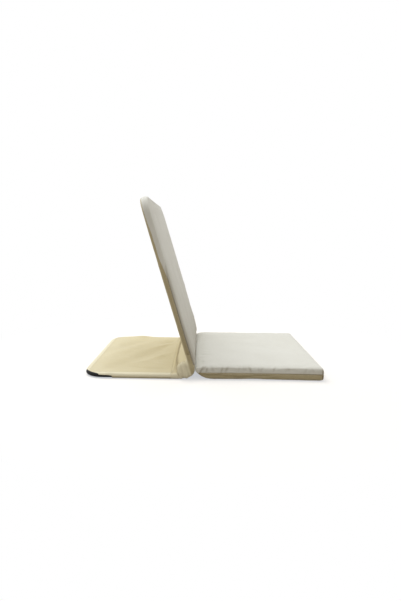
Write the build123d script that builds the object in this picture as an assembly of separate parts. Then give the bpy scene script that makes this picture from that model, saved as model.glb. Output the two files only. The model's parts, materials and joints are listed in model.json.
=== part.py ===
from build123d import *

import os
from math import cos, radians, sin

# Folding floor chair: a padded seat, a padded back on a bent steel tube, and a rear foot on
# a second bent tube. Two ratchet hinges join the tubes at the fold, and cloth joins the seat.
# Millimetres and degrees. +Z is up, the sitter faces -Y, and the origin is at the middle of
# the floor area. "Fold" is the line along X where seat, back and foot meet.

# Whole chair
CHAIR_WIDTH = 520.0
SEAT_LENGTH = 376.0  # fold to the corners of the front boxing
SEAT_THICKNESS = 40.0  # at the edges of the boxing
BACK_LENGTH = 520.0  # fold to the top edge
BACK_LEAN = 17.0  # from upright
FOOT_LENGTH = 330.0  # fold to the rear hem
FOOT_FOLD_RANGE = 72.0  # foot closes against the rear of the back
SEAT_FOLD_RANGE = 104.0  # seat closes against the front of the back

# Cloth
COVER_T = 1.2
SOFT_GAP = 0.3  # between a soft piece and its neighbour
SEAM_GAP = 0.1  # between two sewn panels
FOLD_GAP = 0.5  # fold line to the cloth on each side of it

# Steel tubes
TUBE_D = 12.7
TUBE_WALL = 1.2
BACK_CORNER_R = 50.0  # at the centreline
FOOT_CORNER_R = 50.0
TUBE_OFFSET = 20.0  # hinge axis to both centrelines
TUBE_START = 26.5  # hinge axis to the tube ends, along the tubes
CROSSBAR_HEIGHT = 62.0  # hinge axis to the crossbar, along the back
WELD_GAP = 0.05

# Ratchet hinges
CASE_R = 23.0
CASE_T = 2.0
ARM_T = 4.0
SIDE_PLAY = 0.1
TANG_WIDTH = 9.2
TANG_LENGTH = 22.0
HUB_R = 15.0
TOOTH_DEPTH = 2.0
TOOTH_COUNT = 7
TOOTH_LEAD = 5.0  # degrees of the sloped flank, below the gap's middle
TOOTH_BACK = 3.4  # degrees to the steep flank, above it
RUN_FIT = 0.05
FIXED_FIT = 0.02
PIVOT_D = 8.0
PIVOT_HEAD_D = 14.0
HEAD_T = 1.6
RIVET_D = 4.0
RIVET_HEAD_D = 7.0
RIVET_SPACING = 15.0
ROLL_PIN_D = 4.0
ROLL_PIN_WALL = 0.8
ROLL_PIN_SPACING = 10.0
ROLL_PIN_SINK = 0.4  # end of the pin below the tube's surface
WEB_HEEL = 7.5  # web of the ratchet arm, behind the hinge axis
WEB_DROP = 11.0
WEB_TOE = 11.0  # hinge axis to where the web's lower edge meets the tang
WEB_NECK = 19.0  # hinge axis to where its upper edge does
WEB_SIDE_ANGLE = -36.0
CASE_HEEL = 9.0  # case foot, behind the hinge axis
CASE_CHAMFER = 3.0
CASE_NECK_ANGLE = -25.0

# Pawl, in the hinge case
PAWL_PIN_D = 4.0
PAWL_PIN_R = 19.0  # hinge axis to the pawl pin
PAWL_PIN_ANGLE = 12.0  # above the foot's direction
PAWL_TIP_ANGLE = -32.0
PAWL_WIDTH = 5.4
PAWL_BOSS_D = 7.2
TIP_PLAY = 0.3
SPRING_T = 0.5
SPRING_WIDTH = 3.0
SPRING_GAP = 0.2

# Back pad and sleeve
BACK_PAD_T = 9.0  # at the sides
BACK_CROWN = 2.5
BACK_PAD_TAPER = 48.0  # length of the thinner lower edge
BACK_PAD_TOE = 2.6  # thickness of that edge
BACK_PAD_START = 1.5  # hinge axis to its lower end
BACK_TOP_ROUND = 5.0
GUSSET_REACH = 41.0  # hinge axis to the gusset's two seams

# Foot cover
CORNER_CUT = 88.0  # bare stretch of the tube at each rear corner

# Seat cushion
SEAT_CROWN = 3.0
SEAT_DRAW_IN = 4.0  # sides between the corners
BOXING_BULGE = 3.0  # seam beyond the boxing's top and bottom edges
SEAT_CORNER_R = 9.0
TOE_RISE = 38.0  # fold to where the underside meets the floor
TOE_BULGE = 4.0
SHOULDER_SETBACK = 20.0  # fold to the top edge of the rear slope
SHOULDER_DROP = 1.5

# Fold strip between the seat and the back
STRIP_T = 1.0
STRIP_RISE = 12.0

# Seat fold axis, in the crevice at the height of the boxing's top edge
SEAT_AXIS_SETBACK = 14.0

# Zipper on the seam of the front boxing, shut with its slider at +X
ZIP_MARGIN = 50.0  # side of the chair to the end of the zipper
ZIP_WIDTH = 5.0
ZIP_T = 1.0
SLIDER_LENGTH = 9.0
SLIDER_WALL = 0.9
SLIDER_PLAY = 0.3
EAR_T = 1.0
PULL_PIN_D = 1.2
PULL_EYE_D = 3.0
PULL_LENGTH = 22.0
PULL_WIDTH = 4.0
PULL_T = 1.2

# Sizes that follow from these
TUBE_R = TUBE_D / 2
TUBE_CLEAR = TUBE_R + SOFT_GAP
SLEEVE_R = TUBE_CLEAR + COVER_T
HALF_WIDTH = CHAIR_WIDTH / 2
TUBE_X = HALF_WIDTH - SLEEVE_R
ELBOW_R = TUBE_OFFSET + SLEEVE_R
HINGE_Z = ELBOW_R
ZIP_LENGTH = CHAIR_WIDTH - 2 * ZIP_MARGIN
ZIP_FRONT = SEAT_LENGTH + SOFT_GAP + ZIP_T  # fold to the face of the zipper
SLIDER_FRONT = ZIP_FRONT + SLIDER_PLAY + SLIDER_WALL
PULL_AXIS = SLIDER_FRONT + SLIDER_PLAY + PULL_EYE_D / 2
FOLD_Y = (PULL_AXIS + PULL_EYE_D / 2 - FOOT_LENGTH) / 2
HINGE_Y = FOLD_Y + FOLD_GAP + ELBOW_R
BACK_TOP = BACK_LENGTH - (FOLD_GAP + ELBOW_R) * sin(radians(BACK_LEAN))
FOOT_REAR = FOOT_LENGTH - FOLD_GAP - ELBOW_R
SLEEVE_BACK = TUBE_OFFSET - SLEEVE_R  # rear face of the back's sleeve, ahead of the axis
PAD_BACK = TUBE_OFFSET + TUBE_CLEAR + SEAM_GAP  # rear face of the back's pad
CASE_GAP = ARM_T + 2 * SIDE_PLAY
TOOTH_PITCH = FOOT_FOLD_RANGE / (TOOTH_COUNT - 1)
HUB_TIP_START = PAWL_TIP_ANGLE + BACK_LEAN
SIDES = {"left": 1, "right": -1}

BACK_FRAME = Pos(0, HINGE_Y, HINGE_Z) * Rot(X=-BACK_LEAN)
FOOT_FRAME = Pos(0, HINGE_Y, HINGE_Z)


# Helpers ---------------------------------------------------------------------------------


def polar(radius, angle):
    """A point at an angle from the first axis, in a plane through the hinge axis."""
    return radius * cos(radians(angle)), radius * sin(radians(angle))


def outline(*edges):
    """A face inside a closed run of lines and arcs."""
    return make_face(Curve() + list(edges))


def chain(points):
    """Straight edges from point to point, back to the first."""
    return Polygon(*points, align=None)


def bowed(start, end, bow):
    """An arc from start to end whose middle stands bow to the left of the chord."""
    length = ((end[0] - start[0]) ** 2 + (end[1] - start[1]) ** 2) ** 0.5
    middle = ((start[0] + end[0]) / 2, (start[1] + end[1]) / 2)
    left = (-(end[1] - start[1]) / length, (end[0] - start[0]) / length)
    crest = (middle[0] + bow * left[0], middle[1] + bow * left[1])
    return ThreePointArc(start, crest, end)


def across(sketch, width, x=0.0):
    """A side view made width thick along X, about x."""
    return Pos(x, 0, 0) * extrude(Plane.YZ * sketch, amount=width / 2, both=True)


def x_pin(diameter, length, y, z, x=0.0):
    """A round pin along X, centred on x."""
    return Pos(x, y, z) * Rot(Y=90) * Cylinder(diameter / 2, length)


def slab(low, high):
    """A box between two corners."""
    size = [high[i] - low[i] for i in range(3)]
    return Pos(*low) * Box(*size, align=(Align.MIN, Align.MIN, Align.MIN))


def save(node, *shapes):
    """Write one sub-part, as one solid or a group of separate ones."""
    solids = [solid for shape in shapes for solid in shape.solids()]
    part = solids[0] if len(solids) == 1 else Compound(children=solids)
    part.label = node
    export_step(part, f"parts/{node}.step")


# Steel frames ----------------------------------------------------------------------------


def bent_tube(reach, corner_r, to_frame):
    """A U of round tube: two legs from the hinges and a bar across their far ends."""
    corners = [(TUBE_X, TUBE_START), (TUBE_X, reach), (-TUBE_X, reach), (-TUBE_X, TUBE_START)]
    path = FilletPolyline(*[to_frame(x, along) for x, along in corners], radius=corner_r)
    start = Plane(origin=path @ 0, z_dir=path % 0)
    ring = Circle(TUBE_R) - Circle(TUBE_R - TUBE_WALL)
    return sweep(start * ring, path)


def arm_pins(diameter, length):
    """The places of the two roll pins that hold an arm in its tube, as pins along X."""
    first = TUBE_START + (TANG_LENGTH - ROLL_PIN_SPACING) / 2
    return [x_pin(diameter, length, first + i * ROLL_PIN_SPACING, -TUBE_OFFSET) for i in range(2)]


def pin_holes():
    """The holes for those pins."""
    return arm_pins(ROLL_PIN_D + 2 * FIXED_FIT, 2 * TUBE_D)


def on_back(solid):
    """Turn a piece laid out along the foot's tube so that it lies along the back's tube."""
    return Rot(X=-90) * mirror(solid, about=Plane.XZ)


def back_tube():
    reach = BACK_TOP - SLEEVE_R
    tube = bent_tube(reach, BACK_CORNER_R, lambda x, along: (x, -TUBE_OFFSET, along))
    for side in SIDES.values():
        for hole in pin_holes():
            tube -= Pos(side * TUBE_X, 0, 0) * on_back(hole)
    return tube


def foot_tube():
    reach = FOOT_REAR - SLEEVE_R
    tube = bent_tube(reach, FOOT_CORNER_R, lambda x, along: (x, along, -TUBE_OFFSET))
    for side in SIDES.values():
        for hole in pin_holes():
            tube -= Pos(side * TUBE_X, 0, 0) * hole
    return tube


def crossbar():
    """A straight tube between the back's legs, its ends cut round to meet them."""
    bar = x_pin(TUBE_D, 2 * TUBE_X, -TUBE_OFFSET, CROSSBAR_HEIGHT)
    bar -= x_pin(TUBE_D - 2 * TUBE_WALL, 2 * TUBE_X, -TUBE_OFFSET, CROSSBAR_HEIGHT)
    for side in SIDES.values():
        leg = Cylinder(TUBE_R + WELD_GAP, 4 * TUBE_D)
        bar -= Pos(side * TUBE_X, -TUBE_OFFSET, CROSSBAR_HEIGHT) * leg
    return bar


# Ratchet hinges --------------------------------------------------------------------------
# One hinge is laid out about the origin, in the foot's directions: +Y along the foot's tube.

TANG_LOW = -TUBE_OFFSET - TANG_WIDTH / 2
TANG_HIGH = TANG_LOW + TANG_WIDTH


def tang():
    """The flat tongue that slides into a tube."""
    return chain(
        [
            (TUBE_START, TANG_LOW),
            (TUBE_START + TANG_LENGTH, TANG_LOW),
            (TUBE_START + TANG_LENGTH, TANG_HIGH),
            (TUBE_START, TANG_HIGH),
        ]
    )


def tooth_gap(middle):
    """One sawtooth gap in the hub, with its steep flank on the closing side."""
    root = HUB_R - TOOTH_DEPTH
    open_r = HUB_R + TOOTH_DEPTH
    steep = middle + TOOTH_BACK
    return chain(
        [
            polar(root, steep),
            polar(open_r, steep),
            polar(open_r, middle - TOOTH_LEAD - TOOTH_DEPTH),
            polar(HUB_R, middle - TOOTH_LEAD),
            polar(root, steep - TOOTH_BACK / 2),
        ]
    )


def ratchet_arm():
    """Toothed hub with a web to the back's tube, in the back's frame."""
    web = chain(
        [
            (0, 0),
            (-WEB_HEEL, -WEB_DROP),
            (WEB_TOE, TANG_LOW),
            (TUBE_START, TANG_LOW),
            (TUBE_START, TANG_HIGH),
            (WEB_NECK, TANG_HIGH),
            polar(HUB_R - TOOTH_DEPTH, WEB_SIDE_ANGLE),
        ]
    )
    arm = on_back(across(web + tang(), ARM_T))
    hub = Circle(HUB_R)
    for step in range(TOOTH_COUNT):
        hub -= tooth_gap(HUB_TIP_START + step * TOOTH_PITCH)
    arm += across(hub, ARM_T)
    arm -= x_pin(PIVOT_D + 2 * RUN_FIT, 2 * ARM_T, 0, 0)
    for hole in pin_holes():
        arm -= on_back(hole)
    return arm


def rivet_places():
    """Where the rivets go through the two case plates and the foot arm."""
    last = TUBE_START - RIVET_HEAD_D / 2 - SOFT_GAP
    return [(last - i * RIVET_SPACING, -TUBE_OFFSET) for i in range(2)]


def case_outline():
    """Case plate: a disc about the pivot with a foot along the arm."""
    foot = chain(
        [
            (0, 0),
            (-CASE_HEEL, TANG_LOW + CASE_CHAMFER),
            (-CASE_HEEL + CASE_CHAMFER, TANG_LOW),
            (TUBE_START - WELD_GAP, TANG_LOW),
            (TUBE_START - WELD_GAP, TANG_HIGH),
            polar(CASE_R, CASE_NECK_ANGLE),
        ]
    )
    return Circle(CASE_R) + foot


def case_plate(middle_x):
    plate = across(case_outline(), CASE_T, middle_x)
    plate -= x_pin(PIVOT_D + 2 * FIXED_FIT, 2 * CASE_T, 0, 0, middle_x)
    plate -= x_pin(PAWL_PIN_D + 2 * FIXED_FIT, 2 * CASE_T, *polar(PAWL_PIN_R, PAWL_PIN_ANGLE), middle_x)
    for y, z in rivet_places():
        plate -= x_pin(RIVET_D + 2 * FIXED_FIT, 2 * CASE_T, y, z, middle_x)
    return plate


def foot_arm():
    """Spacer plate between the case plates, with the tang of the foot's tube."""
    top = -HUB_R - 2 * TIP_PLAY
    body = chain(
        [
            (-CASE_HEEL + CASE_CHAMFER, TANG_LOW),
            (TUBE_START, TANG_LOW),
            (TUBE_START, TANG_HIGH),
            (WEB_NECK, top),
            (-CASE_HEEL + CASE_CHAMFER, top),
        ]
    )
    arm = across(body, CASE_GAP) + across(tang(), ARM_T)
    for y, z in rivet_places():
        arm -= x_pin(RIVET_D + 2 * FIXED_FIT, 2 * ARM_T, y, z)
    for hole in pin_holes():
        arm -= hole
    return arm


def headed_pin(diameter, head_d, y=0.0, z=0.0):
    """A pin through both case plates with a head on each."""
    grip = CASE_GAP + 2 * CASE_T
    pin = x_pin(diameter, grip, y, z)
    for side in SIDES.values():
        pin += x_pin(head_d, HEAD_T, y, z, side * (grip + HEAD_T) / 2)
    return pin


def roll_pins():
    """The two hollow pins of one joint."""
    pins = arm_pins(ROLL_PIN_D, TUBE_D - 2 * ROLL_PIN_SINK)
    bores = arm_pins(ROLL_PIN_D - 2 * ROLL_PIN_WALL, 2 * TUBE_D)
    return [pin - bore for pin, bore in zip(pins, bores)]


def sector(inner, outer, low, high):
    """Part of a ring between two angles."""
    wedge = chain([(0, 0), polar(3 * outer, low), polar(3 * outer, high)])
    return (Circle(outer) - Circle(inner)) & wedge


def pawl():
    """A hook about its own pin, whose tip drops into the hub's gaps."""
    inner = HUB_R + 2 * TIP_PLAY
    steep = PAWL_TIP_ANGLE + TOOTH_BACK - 1.0
    tip_r = HUB_R - TOOTH_DEPTH + TIP_PLAY
    tip = chain(
        [
            polar(tip_r, steep),
            polar(inner + 1, steep),
            polar(inner + 1, PAWL_TIP_ANGLE - TOOTH_LEAD + 1.0),
            polar(HUB_R, PAWL_TIP_ANGLE - TOOTH_LEAD + 3.0),
        ]
    )
    low = PAWL_TIP_ANGLE - TOOTH_LEAD
    hook = sector(inner, inner + PAWL_WIDTH, low, PAWL_PIN_ANGLE) + tip
    pin_at = polar(PAWL_PIN_R, PAWL_PIN_ANGLE)
    hook += Pos(*pin_at) * Circle(PAWL_BOSS_D / 2)
    body = across(hook, ARM_T)
    return body - x_pin(PAWL_PIN_D + 2 * RUN_FIT, 2 * ARM_T, *pin_at)


def pawl_spring():
    """A leaf that stands on the foot arm and presses on the pawl's outer edge."""
    inner = HUB_R + 2 * TIP_PLAY + PAWL_WIDTH + SPRING_GAP
    leaf = sector(inner, inner + SPRING_T, PAWL_TIP_ANGLE - 2.5 * TOOTH_LEAD, 0.0)
    return across(leaf, SPRING_WIDTH)


# Back sleeve and pad, in the back's frame: +Z along the back, -Y to its front -------------


def back_panel(half_width, low, high, corner_r):
    """Front view of the back, with its two upper corners rounded."""
    panel = chain([(-half_width, low), (half_width, low), (half_width, high), (-half_width, high)])
    return fillet(panel.vertices().sort_by(Axis.Y)[-2:], corner_r)


def back_slice(half_width, low, high, corner_r, rear, front):
    """The back's front view made solid, from rear to front ahead of the hinge axis."""
    panel = Plane.XZ * back_panel(half_width, low, high, corner_r)
    return Pos(0, -rear, 0) * extrude(panel, amount=front - rear)


def back_corner(inset):
    """Corner radius of a layer that lies inset from the outer cloth."""
    return BACK_CORNER_R + SLEEVE_R - inset


def sleeve_rear():
    """Rear panel of the back's cloth sleeve."""
    low = GUSSET_REACH + SOFT_GAP
    return back_slice(HALF_WIDTH, low, BACK_TOP, back_corner(0), SLEEVE_BACK, SLEEVE_BACK + COVER_T)


def sleeve_band():
    """Cloth band round the back's sides and top, between the rear panel and the pad."""
    low = GUSSET_REACH + SOFT_GAP
    rear = SLEEVE_BACK + COVER_T + SEAM_GAP
    front = TUBE_OFFSET + TUBE_CLEAR
    outer = back_slice(HALF_WIDTH, low, BACK_TOP, back_corner(0), rear, front)
    inner = HALF_WIDTH - COVER_T
    return outer - back_slice(
        inner, low - COVER_T, BACK_TOP - COVER_T, back_corner(COVER_T), rear - 1, front + 1
    )


def pad_envelope(inset, rear=PAD_BACK):
    """The back's front pad, or what lies inset within it, crossed from three views."""
    half = HALF_WIDTH - inset
    low = BACK_PAD_START + inset
    high = BACK_TOP - inset
    above = high + BACK_TOP_ROUND
    front = PAD_BACK + BACK_PAD_T - inset
    toe = PAD_BACK + BACK_PAD_TOE - inset / 2
    taper = BACK_PAD_START + BACK_PAD_TAPER
    body = back_slice(half, 0, high, back_corner(inset), rear, front + 2 * BACK_CROWN)
    side = outline(
        Line((0, low), (-toe, low)),
        bowed((-toe, low), (-front, taper), BACK_CROWN),
        bowed((-front, taper), (-front, above - 3 * BACK_TOP_ROUND), BACK_CROWN),
        bowed(
            (-front, above - 3 * BACK_TOP_ROUND),
            (2 * BACK_TOP_ROUND - front, above),
            BACK_TOP_ROUND / 2,
        ),
        Line((2 * BACK_TOP_ROUND - front, above), (0, above)),
        Line((0, above), (0, low)),
    )
    beyond = 1.5  # the section's width in pad widths, so that only the front view cuts the sides
    crest = front + 1.5 * BACK_CROWN
    fall = 2 * BACK_CROWN * beyond**2
    right, left = (beyond * half, fall - crest), (-beyond * half, fall - crest)
    section = outline(
        bowed(right, left, fall),
        Line(left, (left[0], 0)),
        Line((left[0], 0), (right[0], 0)),
        Line((right[0], 0), right),
    )
    return body & across(side, 3 * half) & extrude(section, amount=2 * high, both=True)


# Foot cover, in the foot's frame ----------------------------------------------------------


def foot_panel(half_width, rear, corner_r):
    """Plan of the foot, with its two rear corners rounded."""
    low = GUSSET_REACH + SOFT_GAP
    panel = chain([(-half_width, low), (half_width, low), (half_width, rear), (-half_width, rear)])
    return fillet(panel.vertices().sort_by(Axis.Y)[-2:], corner_r)


def foot_sheet(level):
    """One flat sheet of the foot's cover, its underside at level above the hinge axis."""
    panel = foot_panel(HALF_WIDTH, FOOT_REAR, FOOT_CORNER_R + SLEEVE_R)
    return Pos(0, 0, level) * extrude(panel, amount=COVER_T)


def foot_underside():
    """The lower sheet, cut away at both rear corners where the tube is bare."""
    sheet = foot_sheet(-ELBOW_R)
    for side in SIDES.values():
        corner = Pos(side * HALF_WIDTH, FOOT_REAR, -ELBOW_R) * Box(
            2 * CORNER_CUT, 2 * CORNER_CUT, 4 * COVER_T
        )
        sheet -= corner
    return sheet


HEM_LOW = -ELBOW_R + COVER_T + SEAM_GAP
HEM_HIGH = -TUBE_OFFSET + TUBE_CLEAR - SEAM_GAP


def side_hem():
    """Outer wall of the cloth round the foot's side tube, at +X."""
    low = (HALF_WIDTH - COVER_T, GUSSET_REACH + SOFT_GAP, HEM_LOW)
    return slab(low, (HALF_WIDTH, FOOT_REAR - CORNER_CUT, HEM_HIGH))


def rear_hem():
    """Outer wall of the cloth round the foot's rear tube."""
    half = HALF_WIDTH - CORNER_CUT
    return slab((-half, FOOT_REAR - COVER_T, HEM_LOW), (half, FOOT_REAR, HEM_HIGH))


# Cloth at the fold -------------------------------------------------------------------------


def from_back(along, ahead):
    """A point of the back's frame as (y, z) in the foot's frame."""
    lean = radians(BACK_LEAN)
    return along * sin(lean) - ahead * cos(lean), along * cos(lean) + ahead * sin(lean)


GUSSET_FOOT = (GUSSET_REACH, HEM_HIGH + SEAM_GAP + COVER_T)
GUSSET_BACK = from_back(GUSSET_REACH, SLEEVE_BACK)


def elbow_cover():
    """Cloth round the outside of the fold, with a cheek over each hinge."""
    front = from_back(0, ELBOW_R)
    low_middle = polar(ELBOW_R, (180 - BACK_LEAN + 270) / 2)
    floor_end = (GUSSET_REACH, -ELBOW_R)
    cheek = outline(
        ThreePointArc(front, low_middle, (0, -ELBOW_R)),
        Line((0, -ELBOW_R), floor_end),
        Line(floor_end, GUSSET_FOOT),
        Line(GUSSET_FOOT, GUSSET_BACK),
        Line(GUSSET_BACK, from_back(GUSSET_REACH, TUBE_OFFSET + TUBE_CLEAR)),
        Line(from_back(GUSSET_REACH, TUBE_OFFSET + TUBE_CLEAR), from_back(0, TUBE_OFFSET + TUBE_CLEAR)),
        Line(from_back(0, TUBE_OFFSET + TUBE_CLEAR), front),
    )
    inner_r = ELBOW_R - COVER_T
    wrap = sector(inner_r, ELBOW_R, 180 - BACK_LEAN, 270)
    wrap += chain([(0, -ELBOW_R), floor_end, (GUSSET_REACH, -inner_r), (0, -inner_r)])
    cover = across(wrap, CHAIR_WIDTH)
    for side in SIDES.values():
        cover += across(cheek, COVER_T, side * (HALF_WIDTH - COVER_T / 2))
    return cover


def corner_gusset():
    """Sheet across the inside of the fold, from the foot's top to the back's rear."""
    run = (GUSSET_BACK[0] - GUSSET_FOOT[0], GUSSET_BACK[1] - GUSSET_FOOT[1])
    length = (run[0] ** 2 + run[1] ** 2) ** 0.5
    inward = (-run[1] / length * COVER_T, run[0] / length * COVER_T)
    inner = [(x + inward[0], z + inward[1]) for x, z in (GUSSET_BACK, GUSSET_FOOT)]
    sheet = chain([GUSSET_FOOT, GUSSET_BACK, *inner])
    return across(sheet, 2 * (HALF_WIDTH - COVER_T - SEAM_GAP))


# Seat cushion, in the chair's frame --------------------------------------------------------


def ahead(distance, height):
    """A point in side view, at a distance in front of the fold."""
    return FOLD_Y - distance, height


TOE = ahead(FOLD_GAP, HINGE_Z)
SHOULDER = ahead(SHOULDER_SETBACK, SEAT_THICKNESS - SHOULDER_DROP)


def seat_envelope(inset):
    """The seat cushion, or what lies inset within it, crossed from three views."""
    half = HALF_WIDTH - BOXING_BULGE
    heel = ahead(TOE_RISE, 0)
    front_low = ahead(SEAT_LENGTH - BOXING_BULGE, 0)
    front_high = ahead(SEAT_LENGTH - BOXING_BULGE, SEAT_THICKNESS)
    side = outline(
        Line(SHOULDER, TOE),
        bowed(TOE, heel, TOE_BULGE),
        Line(heel, front_low),
        bowed(front_low, front_high, BOXING_BULGE),
        bowed(front_high, SHOULDER, SEAT_CROWN),
    )
    rear_y = TOE[0]
    front_y = FOLD_Y - SEAT_LENGTH
    plan = outline(
        bowed((HALF_WIDTH, rear_y), (HALF_WIDTH, front_y), -SEAT_DRAW_IN),
        Line((HALF_WIDTH, front_y), (-HALF_WIDTH, front_y)),
        bowed((-HALF_WIDTH, front_y), (-HALF_WIDTH, rear_y), -SEAT_DRAW_IN),
        Line((-HALF_WIDTH, rear_y), (HALF_WIDTH, rear_y)),
    )
    plan = fillet(plan.vertices().sort_by(Axis.Y)[:2], SEAT_CORNER_R)
    section = outline(
        Line((-half, 0), (half, 0)),
        bowed((half, 0), (half, SEAT_THICKNESS), -BOXING_BULGE),
        bowed((half, SEAT_THICKNESS), (-half, SEAT_THICKNESS), -SEAT_CROWN),
        bowed((-half, SEAT_THICKNESS), (-half, 0), -BOXING_BULGE),
    )
    if inset > 0:
        side, plan, section = [offset(face, amount=-inset) for face in (side, plan, section)]
    tall = extrude(plan, amount=3 * SEAT_THICKNESS, both=True)
    long = extrude(Plane.XZ * section, amount=2 * SEAT_LENGTH, both=True)
    return tall & across(side, 2 * CHAIR_WIDTH) & long


def seat_half(shell, low, high):
    """The part of the seat cover between two heights."""
    return shell & slab((-CHAIR_WIDTH, FOLD_Y - 2 * SEAT_LENGTH, low), (CHAIR_WIDTH, FOLD_Y, high))


def seat_strip():
    """A folded strip down the crevice that joins the seat to the back."""
    slope = (SHOULDER[0] - TOE[0], SHOULDER[1] - TOE[1])
    length = (slope[0] ** 2 + slope[1] ** 2) ** 0.5
    unit = (slope[0] / length, slope[1] / length)
    up = (unit[1], -unit[0])
    low = (TOE[0] + up[0] * SOFT_GAP, TOE[1] + up[1] * SOFT_GAP)
    end = (low[0] + unit[0] * STRIP_RISE, low[1] + unit[1] * STRIP_RISE)
    strip = chain(
        [
            low,
            end,
            (end[0] + up[0] * STRIP_T, end[1] + up[1] * STRIP_T),
            (low[0] + up[0] * STRIP_T, low[1] + up[1] * STRIP_T),
        ]
    )
    return across(strip, CHAIR_WIDTH - 2 * SEAT_CORNER_R)


# Zipper of the seat cover ---------------------------------------------------------------------

SEAM_Z = SEAT_THICKNESS / 2
SLIDER_X = (ZIP_LENGTH - SLIDER_LENGTH) / 2
SLIDER_HALF_HEIGHT = ZIP_WIDTH / 2 + SLIDER_PLAY + SLIDER_WALL


def front_slab(x, half_x, half_z, near, far):
    """A block on the front boxing's seam, between two distances in front of the fold."""
    low = (x - half_x, FOLD_Y - far, SEAM_Z - half_z)
    return slab(low, (x + half_x, FOLD_Y - near, SEAM_Z + half_z))


def zipper_tape():
    return front_slab(0, ZIP_LENGTH / 2, ZIP_WIDTH / 2, SEAT_LENGTH + SOFT_GAP, ZIP_FRONT)


def z_pin(diameter, length):
    """A round pin along Z at the axis of the pull."""
    return Pos(SLIDER_X, FOLD_Y - PULL_AXIS, SEAM_Z) * Cylinder(diameter / 2, length)


def zipper_slider():
    """A channel over the teeth, with two ears and the pin that the pull swings on."""
    half = SLIDER_LENGTH / 2
    rear = SEAT_LENGTH + 2 * SOFT_GAP
    body = front_slab(SLIDER_X, half, SLIDER_HALF_HEIGHT, rear, SLIDER_FRONT)
    channel = SLIDER_HALF_HEIGHT - SLIDER_WALL
    body -= front_slab(SLIDER_X, half + 1, channel, rear - 1, ZIP_FRONT + SLIDER_PLAY)
    ear_middle = (PULL_WIDTH + EAR_T) / 2 + SLIDER_PLAY
    for side in SIDES.values():
        ear = z_pin(PULL_EYE_D, EAR_T)
        ear += front_slab(SLIDER_X, PULL_EYE_D / 2, EAR_T / 2, SLIDER_FRONT, PULL_AXIS)
        body += Pos(0, 0, side * ear_middle) * ear
    return body + z_pin(PULL_PIN_D, 2 * ear_middle)


def zipper_pull():
    """A tab with an eye at one end, lying along the zipper towards -X."""
    low = (SLIDER_X - PULL_LENGTH, FOLD_Y - PULL_AXIS - PULL_T / 2, SEAM_Z - PULL_WIDTH / 2)
    tab = slab(low, (SLIDER_X, low[1] + PULL_T, low[2] + PULL_WIDTH))
    tab += z_pin(PULL_EYE_D, PULL_WIDTH)
    return tab - z_pin(PULL_PIN_D + 2 * RUN_FIT, 2 * PULL_WIDTH)


# Build ---------------------------------------------------------------------------------------

os.makedirs("parts", exist_ok=True)

save("back_frame_tube", BACK_FRAME * back_tube())
save("back_crossbar", BACK_FRAME * crossbar())
save("foot_frame_tube", FOOT_FRAME * foot_tube())

back_pins = []
foot_pins = []
case_rivets = []
for name, side in SIDES.items():
    at_side = Pos(side * TUBE_X, 0, 0)
    save(f"ratchet_arm_{name}", BACK_FRAME * at_side * ratchet_arm())
    save(f"foot_arm_{name}", FOOT_FRAME * at_side * foot_arm())
    plate_x = side * (CASE_GAP + CASE_T) / 2
    save(f"hinge_case_outer_{name}", FOOT_FRAME * at_side * case_plate(plate_x))
    save(f"hinge_case_inner_{name}", FOOT_FRAME * at_side * case_plate(-plate_x))
    save(f"pivot_pin_{name}", FOOT_FRAME * at_side * headed_pin(PIVOT_D, PIVOT_HEAD_D))
    pawl_pin_at = polar(PAWL_PIN_R, PAWL_PIN_ANGLE)
    save(f"pawl_pin_{name}", FOOT_FRAME * at_side * headed_pin(PAWL_PIN_D, RIVET_HEAD_D, *pawl_pin_at))
    save(f"pawl_{name}", FOOT_FRAME * at_side * pawl())
    save(f"pawl_spring_{name}", FOOT_FRAME * at_side * pawl_spring())
    for pin in roll_pins():
        back_pins.append(BACK_FRAME * at_side * on_back(pin))
        foot_pins.append(FOOT_FRAME * at_side * pin)
    for y, z in rivet_places():
        case_rivets.append(FOOT_FRAME * at_side * headed_pin(RIVET_D, RIVET_HEAD_D, y, z))
save("back_roll_pins", *back_pins)
save("foot_roll_pins", *foot_pins)
save("case_rivets", *case_rivets)

save("back_cover_rear", BACK_FRAME * sleeve_rear())
save("back_side_band", BACK_FRAME * sleeve_band())
pad_cavity = pad_envelope(COVER_T, rear=PAD_BACK - COVER_T)
save("back_cover_front", BACK_FRAME * (pad_envelope(0) - pad_cavity))
save("back_foam", BACK_FRAME * pad_envelope(COVER_T + SOFT_GAP))

save("foot_cover_top", FOOT_FRAME * foot_sheet(HEM_HIGH + SEAM_GAP))
save("foot_cover_bottom", FOOT_FRAME * foot_underside())
save("foot_hem_left", FOOT_FRAME * side_hem())
save("foot_hem_right", FOOT_FRAME * mirror(side_hem(), about=Plane.YZ))
save("foot_hem_rear", FOOT_FRAME * rear_hem())
save("elbow_cover", FOOT_FRAME * elbow_cover())
save("corner_gusset", FOOT_FRAME * corner_gusset())

seat_shell = seat_envelope(0) - seat_envelope(COVER_T)
save("seat_cover_top", seat_half(seat_shell, SEAM_Z + SEAM_GAP / 2, 2 * SEAT_THICKNESS))
save("seat_cover_bottom", seat_half(seat_shell, -SEAT_THICKNESS, SEAM_Z - SEAM_GAP / 2))
save("seat_foam", seat_envelope(COVER_T + SOFT_GAP))
save("seat_hinge_strip", seat_strip())
save("seat_zipper_tape", zipper_tape())
save("zipper_slider", zipper_slider())
save("zipper_pull", zipper_pull())

print("hinge axis", 0, round(HINGE_Y, 3), round(HINGE_Z, 3))
print("seat axis", 0, round(FOLD_Y - SEAT_AXIS_SETBACK, 3), SEAT_THICKNESS)
print("pawl pin", [round(v, 3) for v in (HINGE_Y + pawl_pin_at[0], HINGE_Z + pawl_pin_at[1])])
print("pull axis", round(SLIDER_X, 3), round(FOLD_Y - PULL_AXIS, 3), SEAM_Z)
print("slider travel", round(2 * SLIDER_X, 3))
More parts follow.
